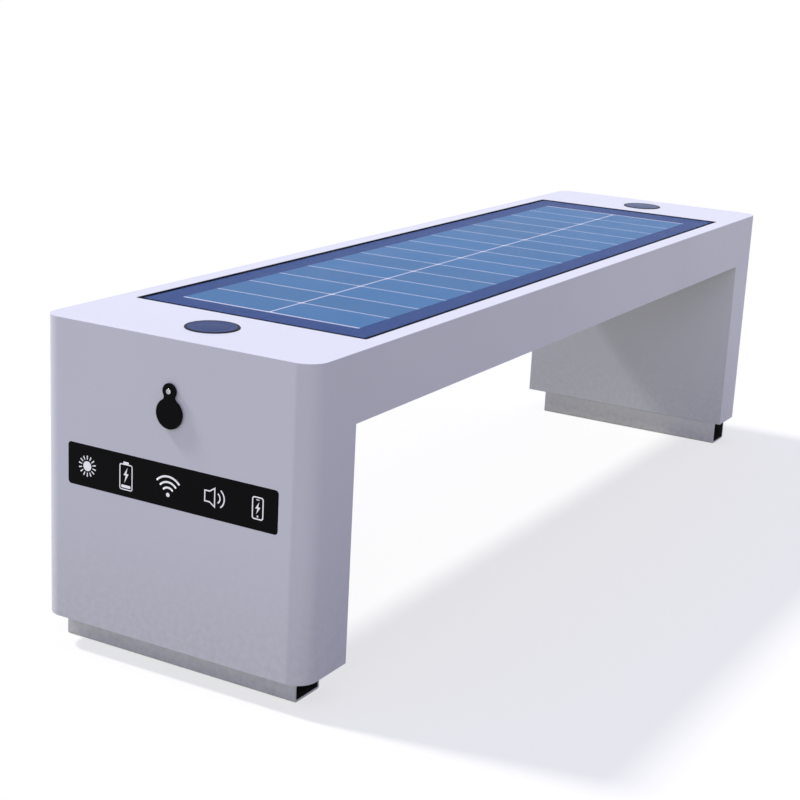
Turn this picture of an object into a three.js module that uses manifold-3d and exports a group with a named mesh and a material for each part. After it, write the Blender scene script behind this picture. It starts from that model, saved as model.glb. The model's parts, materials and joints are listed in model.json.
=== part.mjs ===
// Solar charging bench: a folded sheet-steel portal with a solar panel let into its seat.
// Millimetres, +Z up, +X along the seat. The end with the charging socket faces -X.

import * as THREE from 'three';
import { mergeVertices } from 'three/addons/utils/BufferGeometryUtils.js';
import Module from 'manifold-3d';

const wasm = await Module();
wasm.setup();

// Portal
const LENGTH = 1700;
const WIDTH = 445;
const HEIGHT = 480;
const BEAM_DEPTH = 97;
const LEG_THICKNESS = 104;
const CORNER_RADIUS = 30;
const SHEET = 3;
const FLANGE = 28;
const FLANGE_END_GAP = 1;

// Clearances and the overrun of every cut
const FIT = 0.3;
const PANEL_GAP = 1;
const OVERRUN = 2;

// Facets of arcs and turned pieces
const CORNER_STEPS = 8;
const ARC_STEPS = 3;
const COVER_STEPS = 10;
const SLOT_STEPS = 2;
const PAD_STEPS = 36;
const TURN_STEPS = 28;
const SMALL_TURN_STEPS = 14;
const HEX_SIDES = 6;
const HEX_HOLE_STEPS = 16;

// Plinths and the bolts that hold them
const PLINTH_HEIGHT = 45;
const PLINTH_THICKNESS = 60;
const PLINTH_WALL = 3.5;
const PLINTH_OUTER_INSET = 39;
const PLINTH_FRONT_INSET = 38;
const PLINTH_BACK_INSET = 13;
const PLINTH_CORNER = 4;
const BASE_PLATE = 4;
const BOLT_RADIUS = 5;
const BOLT_HEAD_RADIUS = 9;
const BOLT_HEAD_HEIGHT = 6.5;
const BOLT_POINT = 8;
const BOLT_FROM_SIDE = 77.5;

// Solar panel
const WINDOW_FROM_END = 167.5;
const WINDOW_BORDER = 28.5;
const WINDOW_RADIUS = 4;
const GLASS_THICKNESS = 6;
const LAMINATE_THICKNESS = 1;
const SEAL_WIDTH = 6;
const FRAME_WALL = 3;
const FRAME_LEDGE = 12;
const FRAME_FLANGE = 16;
const CROSSBAR_SIZE = 25;
const CROSSBAR_WALL = 2;
const CUSHION_END_GAP = 2;
const CROSSBAR_PLACE_SHARES = [-0.25, 0, 0.25];

// Cells: two rows of half-cut cells under the glass, with bare strips for the ribbons between them
const CELL_COLUMNS = 15;
const CELL_THICKNESS = 0.3;
const CELL_GAP = 2.6;
const CELL_CROP = 4.5;
const CELL_FROM_NEAR_END = 56.7;
const CELL_FROM_FAR_END = 74.5;
const CELL_FROM_SIDE = 44.5;

// Junction box under the panel
const JUNCTION_LENGTH = 110;
const JUNCTION_WIDTH = 70;
const JUNCTION_HEIGHT = 22;
const JUNCTION_RADIUS = 8;
const JUNCTION_PLACE_SHARE = -0.41;
const CABLE_GLAND_RADIUS = 7;
const CABLE_GLAND_LENGTH = 12;
const CABLE_GLAND_BORE = 3;

// Wireless charging pads
const PAD_FROM_END = 89;
const PAD_RADIUS = 38;
const PAD_RIM_HEIGHT = 1.2;
const PAD_RIM_WIDTH = 2.8;
const PAD_BODY_RADIUS = 36.5;
const PAD_DEPTH = 26;
const PAD_WALL = 2;
const PAD_DISC_THICKNESS = 3;
const PAD_NUT_RADIUS = 45;
const PAD_NUT_HEIGHT = 8;
const COIL_HEIGHT = 4;
const COIL_BORE = 10;
const COIL_GAP = 1.5;

// Charging socket and its swivel cover
const PIVOT_FROM_TOP = 70.2;
const COVER_PITCH = 30.6;
const COVER_DISC_RADIUS = 21.2;
const COVER_EAR_RADIUS = 10.9;
const COVER_WAIST_RADIUS = 5;
const COVER_THICKNESS = 3;
const COVER_EDGE = 0.8;
const SOCKET_FLANGE = 1.2;
const SOCKET_FLANGE_INSET = 1.5;
const SOCKET_BARREL_RADIUS = 14;
const SOCKET_BARREL_LENGTH = 26;
const SOCKET_NUT_RADIUS = 20;
const SOCKET_NUT_HEIGHT = 6;
const MOUTH_RADIUS = 11;
const MOUTH_DEPTH = 1.5;
const PORT_WIDTH = 13.2;
const PORT_HEIGHT = 7.2;
const PORT_RADIUS = 0.8;
const PORT_DEPTH = 14;
const TONGUE_WIDTH = 11;
const TONGUE_THICKNESS = 1.8;
const TONGUE_LENGTH = 9;
const TONGUE_TOP_GAP = 0.7;
const SCREW_RADIUS = 2;
const SCREW_HEAD_RADIUS = 3.8;
const SCREW_HEAD_HEIGHT = 1.6;
const SCREW_POINT = 6;
const KEY_RADIUS = 1.45;
const KEY_DEPTH = 1.1;
const DOME_SHARES = [[0.6, 0], [0.9, 0.35], [1, 1]];

// Pictogram plate beside the socket
const ICON_PLATE_FROM_SIDE = 48.5;
const ICON_PLATE_HEIGHT = 60;
const ICON_PLATE_RADIUS = 5;
const ICON_PLATE_FROM_TOP = 202;
const ICON_PLATE_LIP = 6;
const ICON_PLATE_LIP_THICKNESS = 2;
const LIGHT_BOARD_THICKNESS = 1.6;

// Service door in the hidden face of the leg with the socket
const DOOR_FROM_SIDE = 72.5;
const DOOR_FROM_GROUND = 95;
const DOOR_FROM_BEAM = 48;
const DOOR_RADIUS = 6;
const DOOR_GAP = 1.5;
const REBATE_LEDGE = 8;
const REBATE_LAP = 12;
const HINGE_OFFSET = 5;
const KNUCKLE_RADIUS = 4.6;
const KNUCKLE_HEIGHT = 14;
const HINGE_PIN_RADIUS = 2.5;
const HINGE_PIN_HEIGHT = 12;
const HINGE_LEAF_WIDTH = 28;
const HINGE_LEAF_THICKNESS = 3;
const HINGE_ROOT = 1;
const HINGE_FROM_EDGE = 35;
const LOCK_FROM_EDGE = 25;
const LOCK_FLANGE_RADIUS = 12;
const LOCK_FLANGE_HEIGHT = 2.5;
const LOCK_BARREL_RADIUS = 10;
const LOCK_BARREL_LENGTH = 7.3;
const LOCK_NUT_RADIUS = 15;
const LOCK_NUT_HEIGHT = 5;
const LOCK_CORE_RADIUS = 7;
const CAM_LENGTH = 40;
const CAM_WIDTH = 14;
const CAM_THICKNESS = 2.7;
const KEYWAY_LENGTH = 7;
const KEYWAY_WIDTH = 1.6;
const KEYWAY_DEPTH = 5;

// Battery and electronics inside
const BATTERY_THICKNESS = 77;
const BATTERY_LENGTH = 181;
const BATTERY_HEIGHT = 167;
const BATTERY_RADIUS = 4;
const BATTERY_WALL_GAP = 1;
const TERMINAL_RADIUS = 7;
const TERMINAL_HEIGHT = 9;
const TERMINAL_SPREAD = 130;
const STRAP_WIDTH = 20;
const STRAP_THICKNESS = 1.5;
const STRAP_FOOT = 12;
const CONTROLLER_LENGTH = 120;
const CONTROLLER_WIDTH = 100;
const CONTROLLER_HEIGHT = 18;
const CONTROLLER_PLACE_SHARE = -0.14;
const FIN_DEPTH = 12;
const FIN_THICKNESS = 3;
const FIN_COUNT = 8;
const ROUTER_LENGTH = 120;
const ROUTER_WIDTH = 90;
const ROUTER_HEIGHT = 28;
const ROUTER_RADIUS = 10;
const ROUTER_PLACE_SHARE = 0.14;

// Removable underside panel with its loudspeaker
const SPEAKER_PLACE_SHARE = -0.3;
const SPEAKER_RADIUS = 52;
const SPEAKER_RIM = 2.5;
const SPEAKER_RIM_WIDTH = 6;
const BASKET_HEIGHT = 28;
const BASKET_NECK_RADIUS = 26;
const MAGNET_RADIUS = 36;
const MAGNET_HEIGHT = 16;
const GRILLE_SLOT_COUNT = 9;
const GRILLE_SLOT_WIDTH = 4;
const GRILLE_SLOT_PITCH = 9;
const GRILLE_RADIUS = 44;
const PANEL_SCREW_RADIUS = 2.5;
const PANEL_SCREW_HEAD_RADIUS = 5;
const PANEL_SCREW_HEAD_HEIGHT = 2.2;
const PANEL_SCREW_POINT = 4;
const PAN_TOP_SHARE = 0.6;
const PANEL_SCREW_SPREAD = 240;

// Places worked out from the sizes above
const halfLength = LENGTH / 2;
const halfWidth = WIDTH / 2;
const legFace = halfLength - LEG_THICKNESS;
const beamBottom = HEIGHT - BEAM_DEPTH;
const insideEnd = halfLength - SHEET;
const insideSide = halfWidth - SHEET;
const deckBottom = HEIGHT - SHEET;
const flangeBottom = beamBottom + SHEET;
const windowLength = LENGTH - WINDOW_FROM_END - WINDOW_FROM_END;
const windowWidth = WIDTH - WINDOW_BORDER - WINDOW_BORDER;
const glassBottom = HEIGHT - GLASS_THICKNESS;
const laminateBottom = glassBottom - LAMINATE_THICKNESS;
const ledgeBottom = laminateBottom - FRAME_WALL;
const glassLength = windowLength - SEAL_WIDTH - SEAL_WIDTH - FIT - FIT;
const glassWidth = windowWidth - SEAL_WIDTH - SEAL_WIDTH - FIT - FIT;
const cellStart = CELL_FROM_NEAR_END - windowLength / 2;
const cellPitch = (windowLength - CELL_FROM_NEAR_END - CELL_FROM_FAR_END) / CELL_COLUMNS;
const cellReach = windowWidth / 2 - CELL_FROM_SIDE;
const padPlace = halfLength - PAD_FROM_END;
const plinthPlace = halfLength - PLINTH_OUTER_INSET - PLINTH_THICKNESS / 2;
const plinthLength = WIDTH - PLINTH_FRONT_INSET - PLINTH_BACK_INSET;
const pivotHeight = HEIGHT - PIVOT_FROM_TOP;
const portCentre = pivotHeight - COVER_PITCH;
const flangeFront = -halfLength - SOCKET_FLANGE;
const coverBack = flangeFront - FIT;
const coverFront = coverBack - COVER_THICKNESS;
const screwFront = coverFront - FIT - SCREW_HEAD_HEIGHT;
const iconPlateLength = WIDTH - ICON_PLATE_FROM_SIDE - ICON_PLATE_FROM_SIDE;
const iconPlateCentre = HEIGHT - ICON_PLATE_FROM_TOP;
const doorTop = beamBottom - DOOR_FROM_BEAM;
const doorWidth = WIDTH - DOOR_FROM_SIDE - DOOR_FROM_SIDE;
const doorHeight = doorTop - DOOR_FROM_GROUND;
const doorCentre = (doorTop + DOOR_FROM_GROUND) / 2;
const doorFace = -legFace;
const doorBack = doorFace - SHEET + FIT;
const rebateFront = doorFace - SHEET;
const hingeX = doorFace + HINGE_OFFSET;
const hingeY = -doorWidth / 2;
const lockY = doorWidth / 2 - LOCK_FROM_EDGE;
const lockEnd = doorBack - LOCK_BARREL_LENGTH;
const baseTop = PLINTH_HEIGHT + BASE_PLATE;
const batteryBack = ICON_PLATE_LIP_THICKNESS + LIGHT_BOARD_THICKNESS + BATTERY_WALL_GAP + STRAP_THICKNESS;
const batteryPlace = batteryBack + BATTERY_THICKNESS / 2 - insideEnd;
const panelTop = beamBottom + SHEET;
const socketReach = -halfLength - screwFront;

// A closed mesh whose faces point out, with its shared corners merged
function closed(geometry) {
  const bare = geometry.clone();
  bare.deleteAttribute('normal');
  bare.deleteAttribute('uv');
  const merged = mergeVertices(bare);
  const corners = merged.index.array;
  const at = merged.attributes.position;
  const kept = [];
  let volume = 0;
  const [a, b, c] = [new THREE.Vector3(), new THREE.Vector3(), new THREE.Vector3()];
  for (let i = 0; i < corners.length; i += 3) {
    const [p, q, r] = [corners[i], corners[i + 1], corners[i + 2]];
    if (p === q || q === r || r === p) continue;
    kept.push(p, q, r);
    a.fromBufferAttribute(at, p);
    b.fromBufferAttribute(at, q);
    c.fromBufferAttribute(at, r);
    volume += a.dot(b.cross(c));
  }
  merged.setIndex(volume < 0 ? kept.reverse() : kept);
  return merged;
}

function toSolid(geometry) {
  const mesh = closed(geometry);
  const vertProperties = new Float32Array(mesh.attributes.position.array);
  const triVerts = new Uint32Array(mesh.index.array);
  return new wasm.Manifold(new wasm.Mesh({ numProp: 3, vertProperties, triVerts }));
}

function toGeometry(solid) {
  const mesh = solid.getMesh();
  const geometry = new THREE.BufferGeometry();
  geometry.setAttribute('position', new THREE.BufferAttribute(new Float32Array(mesh.vertProperties), 3));
  geometry.setIndex(Array.from(mesh.triVerts));
  return geometry;
}

function join(first, ...others) {
  return toGeometry(others.reduce((sum, other) => sum.add(toSolid(other)), toSolid(first)));
}

function cut(first, ...tools) {
  return toGeometry(tools.reduce((rest, tool) => rest.subtract(toSolid(tool)), toSolid(first)));
}

// Outlines
function rectangle(x0, y0, x1, y1) {
  const points = [[x0, y0], [x1, y0], [x1, y1], [x0, y1]];
  return new THREE.Shape(points.map(([x, y]) => new THREE.Vector2(x, y)));
}

function roundedRectangle(width, height, radius, x = 0, y = 0, path = new THREE.Shape()) {
  const [right, top] = [x + width / 2 - radius, y + height / 2 - radius];
  const [left, bottom] = [x - width / 2 + radius, y - height / 2 + radius];
  path.absarc(right, top, radius, 0, Math.PI / 2);
  path.absarc(left, top, radius, Math.PI / 2, Math.PI);
  path.absarc(left, bottom, radius, Math.PI, Math.PI * 1.5);
  path.absarc(right, bottom, radius, Math.PI * 1.5, Math.PI * 2);
  path.closePath();
  return path;
}

function ringOutline(width, height, radius, holeWidth, holeHeight, holeRadius) {
  const shape = roundedRectangle(width, height, radius);
  shape.holes.push(roundedRectangle(holeWidth, holeHeight, holeRadius, 0, 0, new THREE.Path()));
  return shape;
}

function hexOutline(radius) {
  const corners = Array.from({ length: HEX_SIDES }, (_, i) => (i * Math.PI * 2) / HEX_SIDES);
  return new THREE.Shape(
    corners.map((angle) => new THREE.Vector2(radius * Math.cos(angle), radius * Math.sin(angle))));
}

function hexNutOutline(radius, bore) {
  const shape = hexOutline(radius);
  const hole = new THREE.Path();
  hole.absarc(0, 0, bore, 0, Math.PI * 2);
  shape.holes.push(hole);
  return shape;
}

// Two discs joined by hollow-cheeked sides: the outline of the cover and its flange
function keyholeOutline(inset) {
  const disc = COVER_DISC_RADIUS - inset;
  const ear = COVER_EAR_RADIUS - inset;
  const waist = COVER_WAIST_RADIUS + inset;
  const rise = ((disc + waist) ** 2 - (ear + waist) ** 2 + COVER_PITCH ** 2) / (2 * COVER_PITCH);
  const side = Math.sqrt((disc + waist) ** 2 - rise ** 2);
  const low = Math.atan2(rise, side);
  const high = Math.atan2(COVER_PITCH - rise, -side);
  const shape = new THREE.Shape();
  shape.absarc(0, 0, disc, Math.PI - low, Math.PI * 2 + low, false);
  shape.absarc(side, rise, waist, Math.PI + low, high, true);
  shape.absarc(0, COVER_PITCH, ear, high - Math.PI, Math.PI * 2 - high, false);
  shape.absarc(-side, rise, waist, Math.PI - high, -low, true);
  shape.closePath();
  return shape;
}

// Solids from outlines: up from a height, and along X or Y from a place
function upFrom(z, depth, shape, steps = ARC_STEPS) {
  const solid = new THREE.ExtrudeGeometry(shape, { depth, bevelEnabled: false, curveSegments: steps });
  return solid.translate(0, 0, z);
}

function alongX(x, depth, shape, steps = ARC_STEPS) {
  const solid = new THREE.ExtrudeGeometry(shape, { depth, bevelEnabled: false, curveSegments: steps });
  const [u, v, w] = [new THREE.Vector3(0, 1, 0), new THREE.Vector3(0, 0, 1), new THREE.Vector3(1, 0, 0)];
  return solid.applyMatrix4(new THREE.Matrix4().makeBasis(u, v, w)).translate(x, 0, 0);
}

function alongY(y, depth, shape, steps = ARC_STEPS) {
  const solid = new THREE.ExtrudeGeometry(shape, { depth, bevelEnabled: false, curveSegments: steps });
  const [u, v, w] = [new THREE.Vector3(1, 0, 0), new THREE.Vector3(0, 0, 1), new THREE.Vector3(0, -1, 0)];
  return solid.applyMatrix4(new THREE.Matrix4().makeBasis(u, v, w)).translate(0, y + depth, 0);
}

function boxBetween(x0, y0, z0, x1, y1, z1) {
  return upFrom(z0, z1 - z0, rectangle(x0, y0, x1, y1));
}

// Turned pieces: profiles of radius and height, upright or lying along +X
function turned(profile, steps = TURN_STEPS) {
  const points = profile.map(([radius, height]) => new THREE.Vector2(radius, height));
  return new THREE.LatheGeometry(points, steps).rotateX(Math.PI / 2);
}

function turnedAlongX(profile, steps = TURN_STEPS) {
  return turned(profile, steps).rotateY(Math.PI / 2);
}

function rod(radius, from, to) {
  return [[0, from], [radius, from], [radius, to], [0, to]];
}

function tube(radius, bore, from, to) {
  return [[bore, from], [radius, from], [radius, to], [bore, to], [bore, from]];
}

// Portal sheets
function deckSheet() {
  const outline = roundedRectangle(LENGTH, WIDTH, CORNER_RADIUS);
  const plate = upFrom(deckBottom, SHEET, outline, CORNER_STEPS);
  const window = upFrom(deckBottom - OVERRUN, SHEET + OVERRUN + OVERRUN,
    roundedRectangle(windowLength, windowWidth, WINDOW_RADIUS));
  const holes = [-padPlace, padPlace].map((x) =>
    turned(rod(PAD_BODY_RADIUS + FIT, deckBottom - OVERRUN, HEIGHT + OVERRUN)).translate(x, 0, 0));
  return cut(plate, window, ...holes);
}

// One long side: two legs and the beam, with the beam's lower edge folded inwards
function sideSheet(side) {
  const foot = halfLength - CORNER_RADIUS;
  const outline = new THREE.Shape([
    [-foot, PLINTH_HEIGHT], [-legFace, PLINTH_HEIGHT], [-legFace, beamBottom], [legFace, beamBottom],
    [legFace, PLINTH_HEIGHT], [foot, PLINTH_HEIGHT], [foot, deckBottom], [-foot, deckBottom],
  ].map(([x, z]) => new THREE.Vector2(x, z)));
  const skin = alongY(-halfWidth, SHEET, outline);
  const end = legFace - FLANGE - FLANGE_END_GAP;
  const fold = boxBetween(-end, -insideSide - SHEET / 2, flangeBottom, end, -halfWidth + FLANGE,
    flangeBottom + SHEET);
  const holes = panelScrewPlaces().map(([x, y]) =>
    turned(rod(PANEL_SCREW_RADIUS + FIT, flangeBottom - OVERRUN, flangeBottom + SHEET + OVERRUN),
      SMALL_TURN_STEPS).translate(x, y, 0));
  const sheet = cut(join(skin, fold), ...holes);
  return side < 0 ? sheet : sheet.rotateZ(Math.PI);
}

function wrapOutline() {
  const shape = new THREE.Shape();
  const corner = halfLength - CORNER_RADIUS;
  const side = halfWidth - CORNER_RADIUS;
  const bend = CORNER_RADIUS - SHEET;
  shape.moveTo(-corner, halfWidth);
  shape.absarc(-corner, side, CORNER_RADIUS, Math.PI / 2, Math.PI, false);
  shape.absarc(-corner, -side, CORNER_RADIUS, Math.PI, Math.PI * 1.5, false);
  shape.lineTo(-corner, -insideSide);
  shape.absarc(-corner, -side, bend, Math.PI * 1.5, Math.PI, true);
  shape.absarc(-corner, side, bend, Math.PI, Math.PI / 2, true);
  shape.closePath();
  return shape;
}

function farEndSheet() {
  return upFrom(PLINTH_HEIGHT, deckBottom - PLINTH_HEIGHT, wrapOutline(), CORNER_STEPS).rotateZ(Math.PI);
}

function nearEndSheet() {
  const wrap = upFrom(PLINTH_HEIGHT, deckBottom - PLINTH_HEIGHT, wrapOutline(), CORNER_STEPS);
  const through = SHEET + OVERRUN + OVERRUN;
  const plateHole = alongX(-halfLength - OVERRUN, through, roundedRectangle(
    iconPlateLength + FIT + FIT, ICON_PLATE_HEIGHT + FIT + FIT, ICON_PLATE_RADIUS + FIT, 0,
    iconPlateCentre));
  const barrelHole = turnedAlongX(rod(SOCKET_BARREL_RADIUS + FIT, 0, through))
    .translate(-halfLength - OVERRUN, 0, portCentre);
  const screwHole = turnedAlongX(rod(SCREW_RADIUS + FIT, 0, through), SMALL_TURN_STEPS)
    .translate(-halfLength - OVERRUN, 0, pivotHeight);
  return cut(wrap, plateHole, barrelHole, screwHole);
}

// The leg's inner face, with its top folded over to carry the underside panel
function legInnerSheet() {
  const outline = new THREE.Shape([
    [-legFace - SHEET, PLINTH_HEIGHT], [-legFace, PLINTH_HEIGHT], [-legFace, flangeBottom],
    [-legFace + FLANGE, flangeBottom], [-legFace + FLANGE, flangeBottom + SHEET],
    [-legFace - SHEET, flangeBottom + SHEET],
  ].map(([x, z]) => new THREE.Vector2(x, z)));
  const sheet = alongY(-insideSide, insideSide + insideSide, outline);
  const holes = panelScrewPlaces().map(([x, y]) =>
    turned(rod(PANEL_SCREW_RADIUS + FIT, flangeBottom - OVERRUN, flangeBottom + SHEET + OVERRUN),
      SMALL_TURN_STEPS).translate(x, y, 0));
  return cut(sheet, ...holes);
}

function nearLegInnerSheet() {
  const opening = alongX(rebateFront - OVERRUN, SHEET + OVERRUN + OVERRUN,
    roundedRectangle(doorWidth, doorHeight, DOOR_RADIUS, 0, doorCentre));
  const ledge = ringOutline(
    doorWidth + REBATE_LAP + REBATE_LAP, doorHeight + REBATE_LAP + REBATE_LAP, DOOR_RADIUS,
    doorWidth - REBATE_LEDGE - REBATE_LEDGE, doorHeight - REBATE_LEDGE - REBATE_LEDGE, DOOR_RADIUS);
  const rebate = alongX(rebateFront - SHEET, SHEET + FIT, ledge).translate(0, 0, doorCentre);
  const clear = alongX(rebateFront, SHEET + OVERRUN,
    roundedRectangle(doorWidth, doorHeight, DOOR_RADIUS, 0, doorCentre));
  return cut(join(cut(legInnerSheet(), opening), rebate), clear);
}

function farLegInnerSheet() {
  return legInnerSheet().rotateZ(Math.PI);
}

// Leg bottoms and plinths
function basePlate() {
  const corner = CORNER_RADIUS - SHEET;
  const shape = new THREE.Shape();
  shape.moveTo(-legFace - SHEET, -insideSide);
  shape.lineTo(-legFace - SHEET, insideSide);
  shape.absarc(-insideEnd + corner, insideSide - corner, corner, Math.PI / 2, Math.PI, false);
  shape.absarc(-insideEnd + corner, -insideSide + corner, corner, Math.PI, Math.PI * 1.5, false);
  shape.closePath();
  const holes = boltPlaces().map((y) =>
    turned(rod(BOLT_RADIUS + FIT, PLINTH_HEIGHT - OVERRUN, baseTop + OVERRUN), SMALL_TURN_STEPS)
      .translate(-plinthPlace, y, 0));
  return cut(upFrom(PLINTH_HEIGHT, BASE_PLATE, shape, CORNER_STEPS), ...holes);
}

function boltPlaces() {
  return [BOLT_FROM_SIDE - halfWidth, halfWidth - BOLT_FROM_SIDE];
}

// A length of rectangular tube that lies further back than forward under its leg
function plinth() {
  const inner = PLINTH_CORNER / 2;
  const section = roundedRectangle(PLINTH_THICKNESS, PLINTH_HEIGHT, PLINTH_CORNER, 0, PLINTH_HEIGHT / 2);
  section.holes.push(roundedRectangle(
    PLINTH_THICKNESS - PLINTH_WALL - PLINTH_WALL, PLINTH_HEIGHT - PLINTH_WALL - PLINTH_WALL, inner, 0,
    PLINTH_HEIGHT / 2, new THREE.Path()));
  const bar = alongY(PLINTH_FRONT_INSET - halfWidth, plinthLength, section);
  const holes = boltPlaces().map((y) =>
    turned(rod(BOLT_RADIUS + FIT, PLINTH_HEIGHT - PLINTH_WALL - OVERRUN, PLINTH_HEIGHT + OVERRUN),
      SMALL_TURN_STEPS).translate(0, y, 0));
  return cut(bar, ...holes).translate(-plinthPlace, 0, 0);
}

function plinthBolt(y) {
  const shank = turned(rod(BOLT_RADIUS, PLINTH_HEIGHT - PLINTH_WALL - BOLT_POINT, baseTop + FIT),
    SMALL_TURN_STEPS);
  const head = upFrom(baseTop, BOLT_HEAD_HEIGHT, hexOutline(BOLT_HEAD_RADIUS));
  return join(shank, head).translate(-plinthPlace, y, 0);
}

// Solar panel and what carries it
function panelFrame() {
  const wall = FRAME_WALL + FRAME_WALL;
  const opening = [windowLength - FRAME_LEDGE - FRAME_LEDGE, windowWidth - FRAME_LEDGE - FRAME_LEDGE];
  const ledge = upFrom(ledgeBottom, FRAME_WALL, ringOutline(
    windowLength + wall, windowWidth + wall, WINDOW_RADIUS + FRAME_WALL, ...opening, WINDOW_RADIUS));
  const web = upFrom(ledgeBottom, deckBottom - ledgeBottom, ringOutline(
    windowLength + wall, windowWidth + wall, WINDOW_RADIUS + FRAME_WALL,
    windowLength, windowWidth, WINDOW_RADIUS));
  const flange = upFrom(deckBottom - FRAME_WALL, FRAME_WALL, ringOutline(
    windowLength + FRAME_FLANGE + FRAME_FLANGE, windowWidth + FRAME_FLANGE + FRAME_FLANGE,
    WINDOW_RADIUS + FRAME_FLANGE, windowLength, windowWidth, WINDOW_RADIUS));
  return join(ledge, web, flange);
}

function glassSeal() {
  const radius = WINDOW_RADIUS - FIT;
  return upFrom(laminateBottom, HEIGHT - laminateBottom, ringOutline(
    windowLength - FIT - FIT, windowWidth - FIT - FIT, radius,
    glassLength + FIT + FIT, glassWidth + FIT + FIT, radius / 2));
}

function glassOutline() {
  return roundedRectangle(glassLength, glassWidth, WINDOW_RADIUS / 2);
}

// Half-cut cells: their cropped corners lie at the middle line
function cellOutline(start, side) {
  const [x0, x1] = [start + CELL_GAP / 2, start + cellPitch - CELL_GAP / 2];
  const [y0, y1] = [CELL_GAP / 2, cellReach];
  const corners = [
    [x0 + CELL_CROP, y0], [x1 - CELL_CROP, y0], [x1, y0 + CELL_CROP], [x1, y1], [x0, y1],
    [x0, y0 + CELL_CROP],
  ];
  return new THREE.Shape(corners.map(([x, y]) => new THREE.Vector2(x, side * y)));
}

function cellLaminate() {
  const backing = upFrom(laminateBottom, LAMINATE_THICKNESS - CELL_THICKNESS, glassOutline());
  const half = LAMINATE_THICKNESS / 2;
  const cells = [-1, 1].flatMap((side) => Array.from({ length: CELL_COLUMNS }, (_, i) =>
    upFrom(laminateBottom + half, half, cellOutline(cellStart + i * cellPitch, side))));
  return join(backing, ...cells);
}

function crossbar(share) {
  const section = rectangle(-CROSSBAR_SIZE / 2, 0, CROSSBAR_SIZE / 2, CROSSBAR_SIZE);
  const bore = new THREE.Path([
    [CROSSBAR_WALL - CROSSBAR_SIZE / 2, CROSSBAR_WALL],
    [CROSSBAR_SIZE / 2 - CROSSBAR_WALL, CROSSBAR_WALL],
    [CROSSBAR_SIZE / 2 - CROSSBAR_WALL, CROSSBAR_SIZE - CROSSBAR_WALL],
    [CROSSBAR_WALL - CROSSBAR_SIZE / 2, CROSSBAR_SIZE - CROSSBAR_WALL],
  ].map(([x, z]) => new THREE.Vector2(x, z)));
  section.holes.push(bore);
  return alongY(-insideSide, insideSide + insideSide, section)
    .translate(share * windowLength, 0, ledgeBottom - CROSSBAR_SIZE);
}

function crossbarCushion(share) {
  const reach = windowWidth / 2 - FRAME_LEDGE - CUSHION_END_GAP;
  const middle = share * windowLength;
  return boxBetween(middle - CROSSBAR_SIZE / 2, -reach, ledgeBottom, middle + CROSSBAR_SIZE / 2, reach,
    laminateBottom);
}

function junctionBox() {
  const body = upFrom(laminateBottom - JUNCTION_HEIGHT, JUNCTION_HEIGHT,
    roundedRectangle(JUNCTION_LENGTH, JUNCTION_WIDTH, JUNCTION_RADIUS));
  const glands = [-JUNCTION_WIDTH / 4, JUNCTION_WIDTH / 4].map((y) =>
    turnedAlongX(rod(CABLE_GLAND_RADIUS, JUNCTION_LENGTH / 2 - OVERRUN,
      JUNCTION_LENGTH / 2 + CABLE_GLAND_LENGTH), SMALL_TURN_STEPS)
      .translate(0, y, laminateBottom - JUNCTION_HEIGHT / 2));
  const bores = [-JUNCTION_WIDTH / 4, JUNCTION_WIDTH / 4].map((y) =>
    turnedAlongX(rod(CABLE_GLAND_BORE, JUNCTION_LENGTH / 2,
      JUNCTION_LENGTH / 2 + CABLE_GLAND_LENGTH + OVERRUN), SMALL_TURN_STEPS)
      .translate(0, y, laminateBottom - JUNCTION_HEIGHT / 2));
  return cut(join(body, ...glands), ...bores).translate(JUNCTION_PLACE_SHARE * windowLength, 0, 0);
}

// Wireless charging pads
function padHousing() {
  const rimTop = HEIGHT + PAD_RIM_HEIGHT;
  const seat = rimTop - PAD_DISC_THICKNESS;
  const bottom = HEIGHT - PAD_DEPTH;
  const mouth = PAD_RADIUS - PAD_RIM_WIDTH;
  const bore = PAD_BODY_RADIUS - PAD_WALL - PAD_WALL;
  return turned([
    [0, bottom], [PAD_BODY_RADIUS, bottom], [PAD_BODY_RADIUS, HEIGHT], [PAD_RADIUS, HEIGHT],
    [PAD_RADIUS - PAD_RIM_HEIGHT / 2, rimTop], [mouth, rimTop], [mouth, seat], [bore, seat],
    [bore, bottom + PAD_WALL], [0, bottom + PAD_WALL],
  ], PAD_STEPS);
}

function padDisc() {
  const rimTop = HEIGHT + PAD_RIM_HEIGHT;
  const radius = PAD_RADIUS - PAD_RIM_WIDTH - FIT;
  return turned(rod(radius, rimTop - PAD_DISC_THICKNESS, rimTop), PAD_STEPS);
}

function padCoil() {
  const radius = PAD_BODY_RADIUS - PAD_WALL - PAD_WALL - COIL_GAP;
  const floor = HEIGHT - PAD_DEPTH + PAD_WALL;
  return turned(tube(radius, COIL_BORE, floor, floor + COIL_HEIGHT));
}

function padNut() {
  return turned(tube(PAD_NUT_RADIUS, PAD_BODY_RADIUS + FIT, deckBottom - PAD_NUT_HEIGHT, deckBottom));
}

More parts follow.
